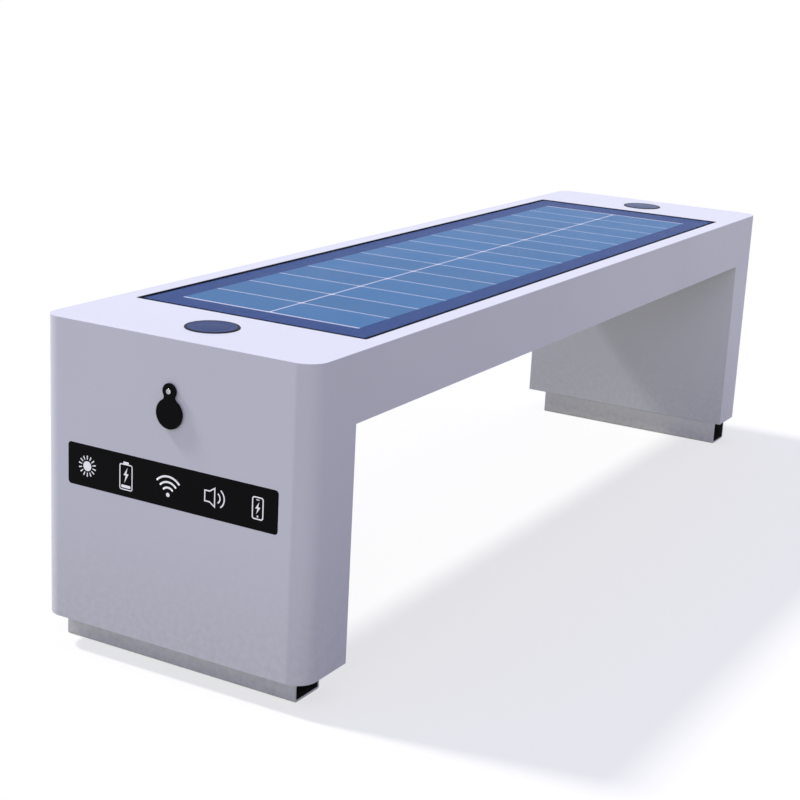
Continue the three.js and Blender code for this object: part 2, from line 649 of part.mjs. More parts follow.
// Charging socket: keyhole flange, threaded barrel, port with its contact tongue
function socketBody() {
  const flange = alongX(flangeFront, SOCKET_FLANGE, keyholeOutline(SOCKET_FLANGE_INSET), COVER_STEPS);
  const barrel = turnedAlongX(rod(SOCKET_BARREL_RADIUS, -SOCKET_FLANGE / 2, SOCKET_BARREL_LENGTH))
    .translate(-halfLength, 0, 0);
  const mouth = turnedAlongX(rod(MOUTH_RADIUS, -OVERRUN, MOUTH_DEPTH)).translate(flangeFront, 0, 0);
  const port = alongX(flangeFront, PORT_DEPTH, roundedRectangle(PORT_WIDTH, PORT_HEIGHT, PORT_RADIUS));
  const screwHole = turnedAlongX(
    rod(SCREW_RADIUS + FIT, -OVERRUN, SOCKET_FLANGE + OVERRUN), SMALL_TURN_STEPS)
    .translate(flangeFront, 0, COVER_PITCH);
  return cut(join(flange, barrel), mouth, port, screwHole).translate(0, 0, portCentre);
}

function portTongue() {
  const top = portCentre + PORT_HEIGHT / 2 - TONGUE_TOP_GAP;
  const back = flangeFront + PORT_DEPTH;
  return boxBetween(back - TONGUE_LENGTH, -TONGUE_WIDTH / 2, top - TONGUE_THICKNESS, back,
    TONGUE_WIDTH / 2, top);
}

function socketNut() {
  return alongX(-insideEnd, SOCKET_NUT_HEIGHT, hexNutOutline(SOCKET_NUT_RADIUS, SOCKET_BARREL_RADIUS + FIT),
    HEX_HOLE_STEPS).translate(0, 0, portCentre);
}

function socketCover() {
  const bevel = { bevelSize: COVER_EDGE, bevelThickness: COVER_EDGE, bevelSegments: 2 };
  const body = new THREE.ExtrudeGeometry(keyholeOutline(COVER_EDGE), {
    depth: COVER_THICKNESS - COVER_EDGE - COVER_EDGE, curveSegments: COVER_STEPS, ...bevel });
  const [u, v, w] = [new THREE.Vector3(0, 1, 0), new THREE.Vector3(0, 0, 1), new THREE.Vector3(1, 0, 0)];
  body.applyMatrix4(new THREE.Matrix4().makeBasis(u, v, w)).translate(coverFront + COVER_EDGE, 0, 0);
  const hole = turnedAlongX(rod(SCREW_RADIUS + FIT, -OVERRUN, COVER_THICKNESS + OVERRUN), SMALL_TURN_STEPS)
    .translate(coverFront, 0, COVER_PITCH);
  return cut(body, hole).translate(0, 0, portCentre);
}

function coverScrew() {
  const head = SCREW_HEAD_HEIGHT;
  const shankEnd = -insideEnd + SCREW_POINT - screwFront;
  const dome = DOME_SHARES.map(([out, back]) => [SCREW_HEAD_RADIUS * out, head * back]);
  const body = turnedAlongX([
    [0, 0], ...dome, [SCREW_RADIUS, head], [SCREW_RADIUS, shankEnd], [0, shankEnd],
  ], SMALL_TURN_STEPS);
  const recess = alongX(-OVERRUN, OVERRUN + KEY_DEPTH, hexOutline(KEY_RADIUS));
  return cut(body, recess).translate(screwFront, 0, pivotHeight);
}

// Pictogram plate: flush in its window, with a lip behind the sheet
function iconPlate() {
  const front = alongX(-halfLength, SHEET + ICON_PLATE_LIP_THICKNESS / 2, roundedRectangle(
    iconPlateLength, ICON_PLATE_HEIGHT, ICON_PLATE_RADIUS, 0, iconPlateCentre));
  const lip = alongX(-insideEnd, ICON_PLATE_LIP_THICKNESS, roundedRectangle(
    iconPlateLength + ICON_PLATE_LIP + ICON_PLATE_LIP, ICON_PLATE_HEIGHT + ICON_PLATE_LIP + ICON_PLATE_LIP,
    ICON_PLATE_RADIUS + ICON_PLATE_LIP, 0, iconPlateCentre));
  return join(front, lip);
}

function iconLightBoard() {
  return alongX(-insideEnd + ICON_PLATE_LIP_THICKNESS, LIGHT_BOARD_THICKNESS, roundedRectangle(
    iconPlateLength, ICON_PLATE_HEIGHT, ICON_PLATE_RADIUS, 0, iconPlateCentre));
}

// Service door on two lift-off hinges, closed by a cam lock
function hingeHeights() {
  return [DOOR_FROM_GROUND + HINGE_FROM_EDGE, doorTop - HINGE_FROM_EDGE];
}

function doorKnuckle(height) {
  const ring = turned(tube(KNUCKLE_RADIUS, HINGE_PIN_RADIUS + FIT, FIT, KNUCKLE_HEIGHT), SMALL_TURN_STEPS);
  const root = DOOR_GAP + HINGE_ROOT;
  const inner = -HINGE_OFFSET;
  const outer = HINGE_LEAF_THICKNESS - HINGE_OFFSET;
  const leaf = upFrom(FIT, KNUCKLE_HEIGHT - FIT, new THREE.Shape([
    [inner, 0], [outer, 0], [outer, HINGE_LEAF_WIDTH], [inner - HINGE_ROOT, HINGE_LEAF_WIDTH],
    [inner - HINGE_ROOT, root], [inner, root],
  ].map(([x, y]) => new THREE.Vector2(x, y))));
  const bore = turned(rod(HINGE_PIN_RADIUS + FIT, -OVERRUN, KNUCKLE_HEIGHT + OVERRUN), SMALL_TURN_STEPS);
  return cut(join(ring, leaf), bore).translate(hingeX, hingeY, height);
}

function serviceDoor() {
  const panel = alongX(doorBack, doorFace - doorBack, roundedRectangle(
    doorWidth - DOOR_GAP - DOOR_GAP, doorHeight - DOOR_GAP - DOOR_GAP, DOOR_RADIUS, 0, doorCentre));
  const lockHole = turnedAlongX(rod(LOCK_BARREL_RADIUS + FIT, -OVERRUN, SHEET + OVERRUN))
    .translate(doorBack, lockY, doorCentre);
  return cut(join(panel, ...hingeHeights().map(doorKnuckle)), lockHole);
}

function hingeSeat(height) {
  const barrel = turned([
    [0, -KNUCKLE_HEIGHT], [KNUCKLE_RADIUS, -KNUCKLE_HEIGHT], [KNUCKLE_RADIUS, 0], [HINGE_PIN_RADIUS, 0],
    [HINGE_PIN_RADIUS, HINGE_PIN_HEIGHT], [0, HINGE_PIN_HEIGHT],
  ], SMALL_TURN_STEPS);
  const leaf = boxBetween(-HINGE_OFFSET, -HINGE_LEAF_WIDTH, -KNUCKLE_HEIGHT,
    HINGE_LEAF_THICKNESS - HINGE_OFFSET, 0, 0);
  return join(barrel, leaf).translate(hingeX, hingeY, height);
}

function lockBody() {
  return turnedAlongX([
    [LOCK_CORE_RADIUS + FIT, 0], [LOCK_BARREL_RADIUS, 0], [LOCK_BARREL_RADIUS, doorFace - lockEnd],
    [LOCK_FLANGE_RADIUS, doorFace - lockEnd], [LOCK_FLANGE_RADIUS, doorFace - lockEnd + LOCK_FLANGE_HEIGHT],
    [LOCK_CORE_RADIUS + FIT, doorFace - lockEnd + LOCK_FLANGE_HEIGHT], [LOCK_CORE_RADIUS + FIT, 0],
  ]).translate(lockEnd, lockY, doorCentre);
}

function lockNut() {
  return alongX(doorBack - LOCK_NUT_HEIGHT, LOCK_NUT_HEIGHT,
    hexNutOutline(LOCK_NUT_RADIUS, LOCK_BARREL_RADIUS + FIT), HEX_HOLE_STEPS).translate(0, lockY, doorCentre);
}

// The turning core with its keyway, and the cam that hooks behind the rebate
function lockCam() {
  const length = doorFace + LOCK_FLANGE_HEIGHT - lockEnd + FIT;
  const core = turnedAlongX(rod(LOCK_CORE_RADIUS, -CAM_THICKNESS / 2, length));
  const arm = new THREE.Shape();
  arm.absarc(0, 0, CAM_WIDTH / 2, 0, Math.PI, false);
  arm.lineTo(-CAM_WIDTH / 2, -CAM_LENGTH);
  arm.lineTo(CAM_WIDTH / 2, -CAM_LENGTH);
  arm.closePath();
  const cam = alongX(-CAM_THICKNESS, CAM_THICKNESS, arm).translate(-FIT, 0, 0);
  const keyway = boxBetween(length - KEYWAY_DEPTH, -KEYWAY_WIDTH / 2, -KEYWAY_LENGTH / 2, length + OVERRUN,
    KEYWAY_WIDTH / 2, KEYWAY_LENGTH / 2);
  return cut(join(core, cam), keyway).translate(lockEnd, lockY, doorCentre);
}

// Battery and electronics
function batteryPack() {
  const body = upFrom(baseTop, BATTERY_HEIGHT,
    roundedRectangle(BATTERY_THICKNESS, BATTERY_LENGTH, BATTERY_RADIUS, batteryPlace));
  const top = baseTop + BATTERY_HEIGHT;
  const terminals = [-TERMINAL_SPREAD / 2, TERMINAL_SPREAD / 2].map((y) =>
    turned(rod(TERMINAL_RADIUS, top - OVERRUN, top + TERMINAL_HEIGHT), SMALL_TURN_STEPS)
      .translate(batteryPlace, y, 0));
  return join(body, ...terminals);
}

function batteryStrap() {
  const side = BATTERY_THICKNESS / 2 + FIT;
  const top = baseTop + BATTERY_HEIGHT + FIT;
  const foot = side + STRAP_THICKNESS + STRAP_FOOT;
  const outline = new THREE.Shape([
    [-side, baseTop], [-side, top], [side, top], [side, baseTop], [foot, baseTop],
    [foot, baseTop + STRAP_THICKNESS], [side + STRAP_THICKNESS, baseTop + STRAP_THICKNESS],
    [side + STRAP_THICKNESS, top + STRAP_THICKNESS], [-side - STRAP_THICKNESS, top + STRAP_THICKNESS],
    [-side - STRAP_THICKNESS, baseTop],
  ].map(([x, z]) => new THREE.Vector2(x, z)));
  return alongY(-STRAP_WIDTH / 2, STRAP_WIDTH, outline).translate(batteryPlace, 0, 0);
}

function chargeController() {
  const body = upFrom(panelTop, CONTROLLER_HEIGHT,
    roundedRectangle(CONTROLLER_LENGTH, CONTROLLER_WIDTH, FIN_THICKNESS));
  const pitch = (CONTROLLER_WIDTH - FIN_THICKNESS * 2) / (FIN_COUNT - 1);
  const reach = CONTROLLER_LENGTH / 2 - FIN_THICKNESS;
  const fins = Array.from({ length: FIN_COUNT }, (_, i) => {
    const y = FIN_THICKNESS + i * pitch - CONTROLLER_WIDTH / 2;
    return boxBetween(-reach, y - FIN_THICKNESS / 2, panelTop + CONTROLLER_HEIGHT / 2, reach,
      y + FIN_THICKNESS / 2, panelTop + CONTROLLER_HEIGHT + FIN_DEPTH);
  });
  return join(body, ...fins).translate(CONTROLLER_PLACE_SHARE * LENGTH, 0, 0);
}

function routerModule() {
  return upFrom(panelTop, ROUTER_HEIGHT, roundedRectangle(
    ROUTER_LENGTH, ROUTER_WIDTH, ROUTER_RADIUS, ROUTER_PLACE_SHARE * LENGTH));
}

function speakerDriver() {
  const top = SPEAKER_RIM + BASKET_HEIGHT;
  const wall = SPEAKER_RIM;
  const cone = SPEAKER_RADIUS - SPEAKER_RIM_WIDTH;
  return turned([
    [0, top - wall], [BASKET_NECK_RADIUS - wall, top - wall], [cone - wall, 0], [SPEAKER_RADIUS, 0],
    [SPEAKER_RADIUS, SPEAKER_RIM], [cone, SPEAKER_RIM], [BASKET_NECK_RADIUS, top],
    [MAGNET_RADIUS, top], [MAGNET_RADIUS, top + MAGNET_HEIGHT], [0, top + MAGNET_HEIGHT],
  ]).translate(SPEAKER_PLACE_SHARE * LENGTH, 0, panelTop);
}

// Underside panel with the loudspeaker's slots
function panelScrewPlaces() {
  const end = legFace - FLANGE / 2;
  const side = halfWidth - FLANGE / 2;
  const [low, high] = [-PANEL_SCREW_SPREAD / 2, PANEL_SCREW_SPREAD / 2];
  return [[-end, low], [-end, high], [end, low], [end, high], [0, -side], [0, side]];
}

function undersidePanel() {
  const [x, y] = [legFace - PANEL_GAP, insideSide - PANEL_GAP];
  const plate = boxBetween(-x, -y, beamBottom, x, y, panelTop);
  const slots = Array.from({ length: GRILLE_SLOT_COUNT }, (_, i) => {
    const place = (i - (GRILLE_SLOT_COUNT - 1) / 2) * GRILLE_SLOT_PITCH;
    const reach = Math.sqrt(GRILLE_RADIUS ** 2 - place ** 2);
    return upFrom(beamBottom - OVERRUN, SHEET + OVERRUN + OVERRUN, roundedRectangle(
      reach + reach, GRILLE_SLOT_WIDTH, GRILLE_SLOT_WIDTH / 2, SPEAKER_PLACE_SHARE * LENGTH, place),
    SLOT_STEPS);
  });
  const holes = panelScrewPlaces().map(([px, py]) =>
    turned(rod(PANEL_SCREW_RADIUS + FIT, beamBottom - OVERRUN, panelTop + OVERRUN), SMALL_TURN_STEPS)
      .translate(px, py, 0));
  return cut(plate, ...slots, ...holes);
}

function panelScrew([x, y]) {
  const head = PANEL_SCREW_HEAD_HEIGHT;
  return turned([
    [0, -head], [PANEL_SCREW_HEAD_RADIUS * PAN_TOP_SHARE, -head], [PANEL_SCREW_HEAD_RADIUS, 0],
    [PANEL_SCREW_RADIUS, 0], [PANEL_SCREW_RADIUS, SHEET + SHEET + PANEL_SCREW_POINT],
    [0, SHEET + SHEET + PANEL_SCREW_POINT],
  ], SMALL_TURN_STEPS).translate(x, y, beamBottom);
}

// Finishes
const paint = () => new THREE.MeshStandardMaterial({ color: 0xd9dbe4, roughness: 0.5, metalness: 0 });
const steel = () => new THREE.MeshStandardMaterial({ color: 0xa9adb2, roughness: 0.4, metalness: 0.9 });
const black = () => new THREE.MeshStandardMaterial({ color: 0x15161a, roughness: 0.35, metalness: 0 });
const rubber = () => new THREE.MeshStandardMaterial({ color: 0x17181a, roughness: 0.85, metalness: 0 });
const glass = () => new THREE.MeshStandardMaterial({ color: 0x2a4c8c, roughness: 0.08, metalness: 0 });
const circuit = () => new THREE.MeshStandardMaterial({ color: 0x2d5a3a, roughness: 0.6, metalness: 0 });
const copper = () => new THREE.MeshStandardMaterial({ color: 0xb87333, roughness: 0.4, metalness: 0.9 });

const bench = new THREE.Group();

function piece(name, geometry, material, parent = bench) {
  const mesh = new THREE.Mesh(closed(geometry), material);
  mesh.name = name;
  parent.add(mesh);
}

// The far leg's fittings are those of the near leg, turned half round
const farEnd = new THREE.Group();
farEnd.rotation.z = Math.PI;
bench.add(farEnd);

piece('deck_sheet', deckSheet(), paint());
piece('side_sheet_front', sideSheet(-1), paint());
piece('side_sheet_rear', sideSheet(1), paint());
piece('end_sheet_near', nearEndSheet(), paint());
piece('end_sheet_far', farEndSheet(), paint());
piece('leg_inner_sheet_near', nearLegInnerSheet(), paint());
piece('leg_inner_sheet_far', farLegInnerSheet(), paint());

for (const [end, parent] of [['near', bench], ['far', farEnd]]) {
  piece(`leg_base_plate_${end}`, basePlate(), steel(), parent);
  piece(`plinth_${end}`, plinth(), paint(), parent);
  boltPlaces().forEach((y, i) => piece(`plinth_bolt_${end}_${i + 1}`, plinthBolt(y), steel(), parent));
}

piece('panel_frame', panelFrame(), steel());
piece('glass_seal', glassSeal(), rubber());
piece('solar_glass', upFrom(glassBottom, GLASS_THICKNESS, glassOutline()), glass());
piece('cell_laminate', cellLaminate(), black());
CROSSBAR_PLACE_SHARES.forEach((share, i) => {
  piece(`crossbar_${i + 1}`, crossbar(share), steel());
  piece(`crossbar_cushion_${i + 1}`, crossbarCushion(share), rubber());
});
piece('junction_box', junctionBox(), black());

for (const [end, x] of [['near', -padPlace], ['far', padPlace]]) {
  piece(`pad_housing_${end}`, padHousing().translate(x, 0, 0), black());
  piece(`pad_disc_${end}`, padDisc().translate(x, 0, 0), glass());
  piece(`pad_coil_${end}`, padCoil().translate(x, 0, 0), copper());
  piece(`pad_nut_${end}`, padNut().translate(x, 0, 0), black());
}

piece('socket_body', socketBody(), black());
piece('port_tongue', portTongue(), black());
piece('socket_nut', socketNut(), black());
piece('socket_cover', socketCover(), black());
piece('cover_screw', coverScrew(), steel());
piece('icon_plate', iconPlate(), black());
piece('icon_light_board', iconLightBoard(), circuit());

piece('service_door', serviceDoor(), paint());
hingeHeights().forEach((height, i) => piece(`hinge_seat_${i + 1}`, hingeSeat(height), steel()));
piece('lock_body', lockBody(), steel());
piece('lock_nut', lockNut(), steel());
piece('lock_cam', lockCam(), steel());

piece('battery_pack', batteryPack(), black());
piece('battery_strap', batteryStrap(), steel());
piece('charge_controller', chargeController(), steel());
piece('router_module', routerModule(), black());
piece('speaker_driver', speakerDriver(), black());
piece('underside_panel', undersidePanel(), paint());
panelScrewPlaces().forEach((place, i) => piece(`panel_screw_${i + 1}`, panelScrew(place), steel()));

// The socket stands out at one end, so the body moves over by half its reach to centre the whole
bench.position.x = socketReach / 2;

export default bench;
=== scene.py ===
"""Solar charging bench: the looks of a white sheet-steel portal bench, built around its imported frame."""

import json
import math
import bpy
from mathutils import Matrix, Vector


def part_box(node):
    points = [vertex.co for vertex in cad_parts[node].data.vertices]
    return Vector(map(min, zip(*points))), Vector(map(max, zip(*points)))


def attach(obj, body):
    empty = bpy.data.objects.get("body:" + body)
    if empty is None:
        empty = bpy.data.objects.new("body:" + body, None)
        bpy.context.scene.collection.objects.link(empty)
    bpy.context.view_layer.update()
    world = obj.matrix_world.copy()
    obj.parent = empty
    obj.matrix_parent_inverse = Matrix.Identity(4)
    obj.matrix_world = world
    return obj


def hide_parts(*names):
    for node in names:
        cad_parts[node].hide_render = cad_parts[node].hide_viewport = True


bl_info = {
    "name": "Solar charging bench",
    "version": (1, 0, 0),
    "blender": (4, 5, 0),
    "location": "3D View > Sidebar > Bench",
    "description": "Builds the skin, solar panel, charging pads, socket and pictograms of the bench",
    "category": "Object",
}

import bmesh
import bpy
from bpy.props import FloatProperty, FloatVectorProperty, IntProperty, PointerProperty
from mathutils import Matrix, Vector

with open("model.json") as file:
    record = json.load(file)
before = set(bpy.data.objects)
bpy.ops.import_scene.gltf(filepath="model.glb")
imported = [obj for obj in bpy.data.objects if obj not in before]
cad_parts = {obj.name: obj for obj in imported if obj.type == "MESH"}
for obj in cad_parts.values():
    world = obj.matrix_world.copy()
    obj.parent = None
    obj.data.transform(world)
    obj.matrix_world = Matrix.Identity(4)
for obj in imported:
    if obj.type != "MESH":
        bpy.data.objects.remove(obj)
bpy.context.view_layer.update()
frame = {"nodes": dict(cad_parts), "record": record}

MM = 0.001
NODES = frame["nodes"]
UP = Vector((0, 0, 1))

# The camera that the photograph was taken with, in the bench's own frame. Its sensor is in
# millimetres, and how far it sees in metres, which is past the floor's corners.
CAMERA_PLACE = Vector((-2539.8, -1294.4, 989.3)) * MM
CAMERA_AIM = Vector((-352.6, -66.8, 304.7)) * MM
CAMERA_ROLL = math.radians(2.95)
FOCAL_PIXELS = 1671.9
IMAGE_PIXELS = 800
SENSOR = 36
SIGHT = 300

# Soft lights: name, where from, strength in W/m2 and width in degrees
LIGHTS = (
    ("key", Vector((-0.1, 0.66, 0.74)), 2.2, 6),
    ("fill", Vector((-0.9, -0.32, 0.28)), 0.38, 40),
)

# The bluish sky that lights the bench, and the white that shows in its place
SKY = (0.345, 0.34, 0.56, 1)
WHITE = (1, 1, 1, 1)

# Welded skin of the portal: every folded and welded sheet is one surface
SKIN_NODES = (
    "deck_sheet", "side_sheet_front", "side_sheet_rear", "end_sheet_near", "end_sheet_far",
    "leg_inner_sheet_near", "leg_inner_sheet_far",
)


def linear(hex_colour):
    """An sRGB hex colour as linear RGBA."""
    parts = [int(hex_colour[i:i + 2], 16) / 255 for i in (0, 2, 4)]
    return tuple(p / 12.92 if p <= 0.04045 else ((p + 0.055) / 1.055) ** 2.4 for p in parts) + (1.0,)


# The floor: half its width in metres, the colour that lights the bench from below, and what shows,
# which is a grey that takes the shadow and a glow that brings the rest of it up to white
FLOOR_REACH = 90
FLOOR_BOUNCE = linear("9E9C80")
FLOOR_SEEN = (0.41, 0.41, 0.38, 1)
FLOOR_GLOW = 0.64

# Darker specks on the two coats: how high they reach in metres, and how strong they are at the ground
SPECKS_HEIGHT, SPECKS = 0.26, 0.6
PLINTH_SPECKS_HEIGHT, PLINTH_SPECKS = 0.06, 1.0

# Wall of the plinths' tubes, with the thickness of the coat
PLINTH_WALL = 3.2 * MM

# Specular level of what lies in resin under the glass
BEHIND_GLASS = 0.03

# Points round a large circle, a small one and a seat screw
ROUND, SMALL_ROUND, SCREW_ROUND = 96, 48, 32

# Clearance of a shank in its bore
CLEARANCE = 0.3 * MM


# Sizes and colours that a user would change

def colour(name, description, hex_colour):
    return FloatVectorProperty(
        name=name, description=description, subtype="COLOR", size=4, min=0, max=1,
        default=linear(hex_colour))


def length(name, description, millimetres):
    return FloatProperty(
        name=name, description=description, default=millimetres * MM, min=0, unit="LENGTH", precision=5)


class BenchColours(bpy.types.PropertyGroup):
    """Colours of the finishes"""

    paint: colour("Powder coat", "White polyester powder on the portal", "E9EBF1")
    # A darker colour laid in specks low on the legs and plinths, strongest at the ground
    dust: colour("Dust", "Street dust that settles low on the legs", "BDBCBB")
    # The plinths' white is the portal's paint made lighter than it is, a painted bounce light for what the
    # ground throws up under the overhang
    plinth: colour("Plinth coat", "Duller powder coat on the plinths", "F0F1F3")
    # The cells' blue is the nitride coat's, made lighter with a painted sky reflection
    cell: colour("Solar cell", "Blue silicon under the glass", "2B7DB6")
    backing: colour("Panel backing", "Dark blue sheet round the cells", "12458C")
    ribbon: colour("Cell ribbon", "Tinned copper ribbons between the cells", "F2F6FC")
    print_white: colour("Pictogram print", "White print of the pictograms", "F1F2F4")
    pad: colour("Pad disc", "Blue-black glass of the charging pads", "1A3568")


class BenchSizes(bpy.types.PropertyGroup):
    """Sizes of the folds and of the cells"""

    fold_radius: length("Fold radius", "Outside radius of the top folds", 2.4)
    edge_radius: length("Edge radius", "Radius of every other sheet edge", 0.9)
    near_margin: length("Near margin", "From the seal's outer edge to the first cell", 56.4)
    far_margin: length("Far margin", "From the last cell to the seal's outer edge", 74.2)
    side_margin: length("Side margin", "From a cell's outer end to the seal's outer edge", 44.2)
    cell_crop: length("Cropped corner", "Corner cut off each cell at the middle line", 4.5)
    ribbon_gap: length("Ribbon gap", "Bare strip between two cells", 2.6)
    cell_columns: IntProperty(
        name="Cell columns", description="Columns of cells along the seat", default=15, min=1, max=40)


# Nodes of a material

def add(tree, kind, sockets=None, links=None, **settings):
    """Adds a node with its settings, socket values and links."""
    node = tree.nodes.new(kind)
    for name, value in settings.items():
        setattr(node, name, value)
    for name, value in (sockets or {}).items():
        node.inputs[name].default_value = value
    for name, output in (links or {}).items():
        tree.links.new(output, node.inputs[name])
    return node


def principled(name, **sockets):
    """A new material, its node tree and its shader, with these sockets set."""
    material = bpy.data.materials.new(name)
    material.use_nodes = True
    tree = material.node_tree
    shader = tree.nodes["Principled BSDF"]
    for socket, value in sockets.items():
        shader.inputs[socket.replace("_", " ")].default_value = value
    return material, tree, shader


def per_metre(millimetres):
    """Scale of a pattern whose features are this many millimetres wide."""
    return 1 / (millimetres * MM)


def shade(tone, factor):
    """The same colour, darker or lighter."""
    return tuple(min(1, part * factor) for part in tone[:3]) + (1.0,)


def lay_over(tree, share, tone):
    """Mixes a second tone over the base colour, as much of it as the share says."""
    base = tree.nodes["Principled BSDF"].inputs["Base Color"]
    mix = add(tree, "ShaderNodeMixRGB", {"Color1": tuple(base.default_value), "Color2": tone},
              {"Fac": share})
    if base.is_linked:
        tree.links.new(base.links[0].from_socket, mix.inputs["Color1"])
    tree.links.new(mix.outputs["Color"], base)


def surface(name, tone, patches, gloss, relief=None, patch_tone=None, **sockets):
    """A finish whose roughness varies in patches, with its tone and a finer relief if they are given.

    patches: their width in millimetres, and how finely they break up.
    gloss: the least and the greatest roughness.
    relief: its width in millimetres, its strength, and its depth in millimetres."""
    material, tree, shader = principled(name, Base_Color=tone, **sockets)
    place = add(tree, "ShaderNodeTexCoord").outputs["Object"]
    width, detail = patches
    patch = add(tree, "ShaderNodeTexNoise", {"Scale": per_metre(width), "Detail": detail},
                {"Vector": place})
    spread = add(tree, "ShaderNodeMapRange", {"To Min": gloss[0], "To Max": gloss[1]},
                 {"Value": patch.outputs["Fac"]})
    tree.links.new(spread.outputs["Result"], shader.inputs["Roughness"])
    if patch_tone:
        lay_over(tree, patch.outputs["Fac"], patch_tone)
    if relief:
        width, strength, depth = relief
        grit = add(tree, "ShaderNodeTexNoise", {"Scale": per_metre(width), "Detail": 2.0},
                   {"Vector": place})
        bump = add(tree, "ShaderNodeBump", {"Strength": strength, "Distance": depth * MM},
                   {"Height": grit.outputs["Fac"]})
        tree.links.new(bump.outputs["Normal"], shader.inputs["Normal"])
    return material


def powder_coat(name, paint, dust, specks_height, specks_amount):
    """Polyester powder coat: satin, with an orange peel 1.5 mm from crest to crest and clouds 240 mm wide.

    Darker specks about 9 mm wide lie on it, strongest at the ground and gone at the given height."""
    material = surface(name, paint, (240, 3.0), (0.36, 0.46), (1.5, 0.12, 0.05), shade(paint, 0.955),
                       Coat_Weight=0.12, Coat_Roughness=0.25)
    tree = material.node_tree
    place = add(tree, "ShaderNodeTexCoord").outputs["Object"]
    height = add(tree, "ShaderNodeSeparateXYZ", links={"Vector": place})
    low = add(tree, "ShaderNodeMapRange",
              {"From Min": specks_height, "From Max": 0.0, "To Min": 0.0, "To Max": specks_amount},
              {"Value": height.outputs["Z"]}, interpolation_type="SMOOTHSTEP")
    speckle = add(tree, "ShaderNodeTexNoise", {"Scale": per_metre(9), "Detail": 6.0}, {"Vector": place})
    darkened = add(tree, "ShaderNodeMath", links={0: low.outputs["Result"], 1: speckle.outputs["Fac"]},
                  operation="MULTIPLY")
    lay_over(tree, darkened.outputs["Value"], dust)
    return material


def plinth_coat(name, paint, dust):
    """The portal's powder coat, which hardly reaches inside the plinths' tubes, so inside them a near-black
    is laid that is bare steel and painted shade.
    """
    material = powder_coat(name, paint, dust, PLINTH_SPECKS_HEIGHT, PLINTH_SPECKS)
    tree = material.node_tree
    near, far = [sum(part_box("plinth_" + end), Vector()) / 2 for end in ("near", "far")]
    low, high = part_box("plinth_near")
    # Half of the room in a tube, of which only X and Z count, because its ends are open
    inside = (high - low) / 2 - Vector((PLINTH_WALL, 0, PLINTH_WALL))
    # How far a place lies outside the nearer tube's room along each axis
    outside = add(tree, "ShaderNodeTexCoord").outputs["Object"]
    for operation, other in (("SUBTRACT", (near + far) / 2), ("ABSOLUTE", (0, 0, 0)),
                             ("SUBTRACT", ((far.x - near.x) / 2, 0, 0)), ("ABSOLUTE", (0, 0, 0)),
                             ("SUBTRACT", inside)):
        outside = add(tree, "ShaderNodeVectorMath", {1: other}, {0: outside},
                      operation=operation).outputs["Vector"]
    parts = add(tree, "ShaderNodeSeparateXYZ", links={"Vector": outside})
    most = add(tree, "ShaderNodeMath", None, {0: parts.outputs["X"], 1: parts.outputs["Z"]},
               operation="MAXIMUM")
    bare_and_shaded = add(tree, "ShaderNodeMath", {1: 0.0}, {0: most.outputs["Value"]}, operation="LESS_THAN")
    # Near-black inside the tubes: bare steel, made darker with painted shade
    lay_over(tree, bare_and_shaded.outputs["Value"], linear("2A2826"))
    return material


def galvanised(name):
    """Hot-dip zinc on steel: grey metal with faint spangles about 9 mm across."""
    material = surface(name, linear("A9AEB3"), (14, 2.0), (0.38, 0.55), Metallic=1.0)
    tree = material.node_tree
    place = add(tree, "ShaderNodeTexCoord").outputs["Object"]
    spangle = add(tree, "ShaderNodeTexVoronoi", {"Scale": per_metre(9)}, {"Vector": place})
    lay_over(tree, spangle.outputs["Color"], linear("C3C7CA"))
    return material


def moulded(name, hex_colour, gloss, texture, strength, specular=0.5):
    """Injection-moulded plastic or rubber: clouds 18 mm wide over the fine texture of its mould."""
    tone = linear(hex_colour)
    return surface(name, tone, (18, 3.0), gloss, (texture, strength, 0.04), shade(tone, 1.5),
                   Specular_IOR_Level=specular)


def silicon(name, cell, grid):
    """Monocrystalline silicon with a blue nitride coat, whose tone differs a little from cell to cell. Its
    blue is lighter than the coat's own: a painted sky reflection.

    It lies in resin under the glass, so it has next to no gloss of its own."""
    darkest_cell, crest, finger_strength = 0.86, 0.86, 0.12
    material = surface(name, cell, (70, 3.0), (0.3, 0.42), Specular_IOR_Level=BEHIND_GLASS)
    tree = material.node_tree
    place = add(tree, "ShaderNodeTexCoord").outputs["Object"]
    number = add(tree, "ShaderNodeVectorMath", {1: grid[0], 2: grid[1]}, {0: place},
                 operation="MULTIPLY_ADD")
    sorting = add(tree, "ShaderNodeTexVoronoi", {"Scale": 1.0, "Randomness": 0.0},
                  {"Vector": number.outputs["Vector"]}, voronoi_dimensions="2D")
    lay_over(tree, sorting.outputs["Color"], shade(cell, darkest_cell))
    # Real fingers are 0.04 mm wide and 1.5 mm apart, too fine to show, so they are drawn 5 mm apart.
    # The wave texture turns 20 radians along one unit at a scale of 1, and only its crests show.
    fingers = add(tree, "ShaderNodeTexWave", {"Scale": per_metre(5) * math.tau / 20, "Distortion": 0.0},
                  {"Vector": place}, bands_direction="Y")
    thin = add(tree, "ShaderNodeMapRange",
               {"From Min": crest, "From Max": 1.0, "To Min": 0.0, "To Max": finger_strength},
               {"Value": fingers.outputs["Fac"]})
    lay_over(tree, thin.outputs["Result"], linear("9FB4CC"))
    return material


def cell_grid():
    """First line of cells, their pitch and their reach from the middle, all in metres."""
    sizes = bpy.context.scene.bench_sizes
    low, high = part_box("glass_seal")
    first = low.x + sizes.near_margin
    pitch = (high.x - sizes.far_margin - first) / sizes.cell_columns
    return first, pitch, (high.y - low.y) / 2 - sizes.side_margin


def cell_numbers():
    """What turns a place into whole numbers at the middle of each cell: a factor and an addition."""
    first, pitch, reach = cell_grid()
    return (1 / pitch, 1 / reach, 0), (-first / pitch - 0.5, -0.5, 0)


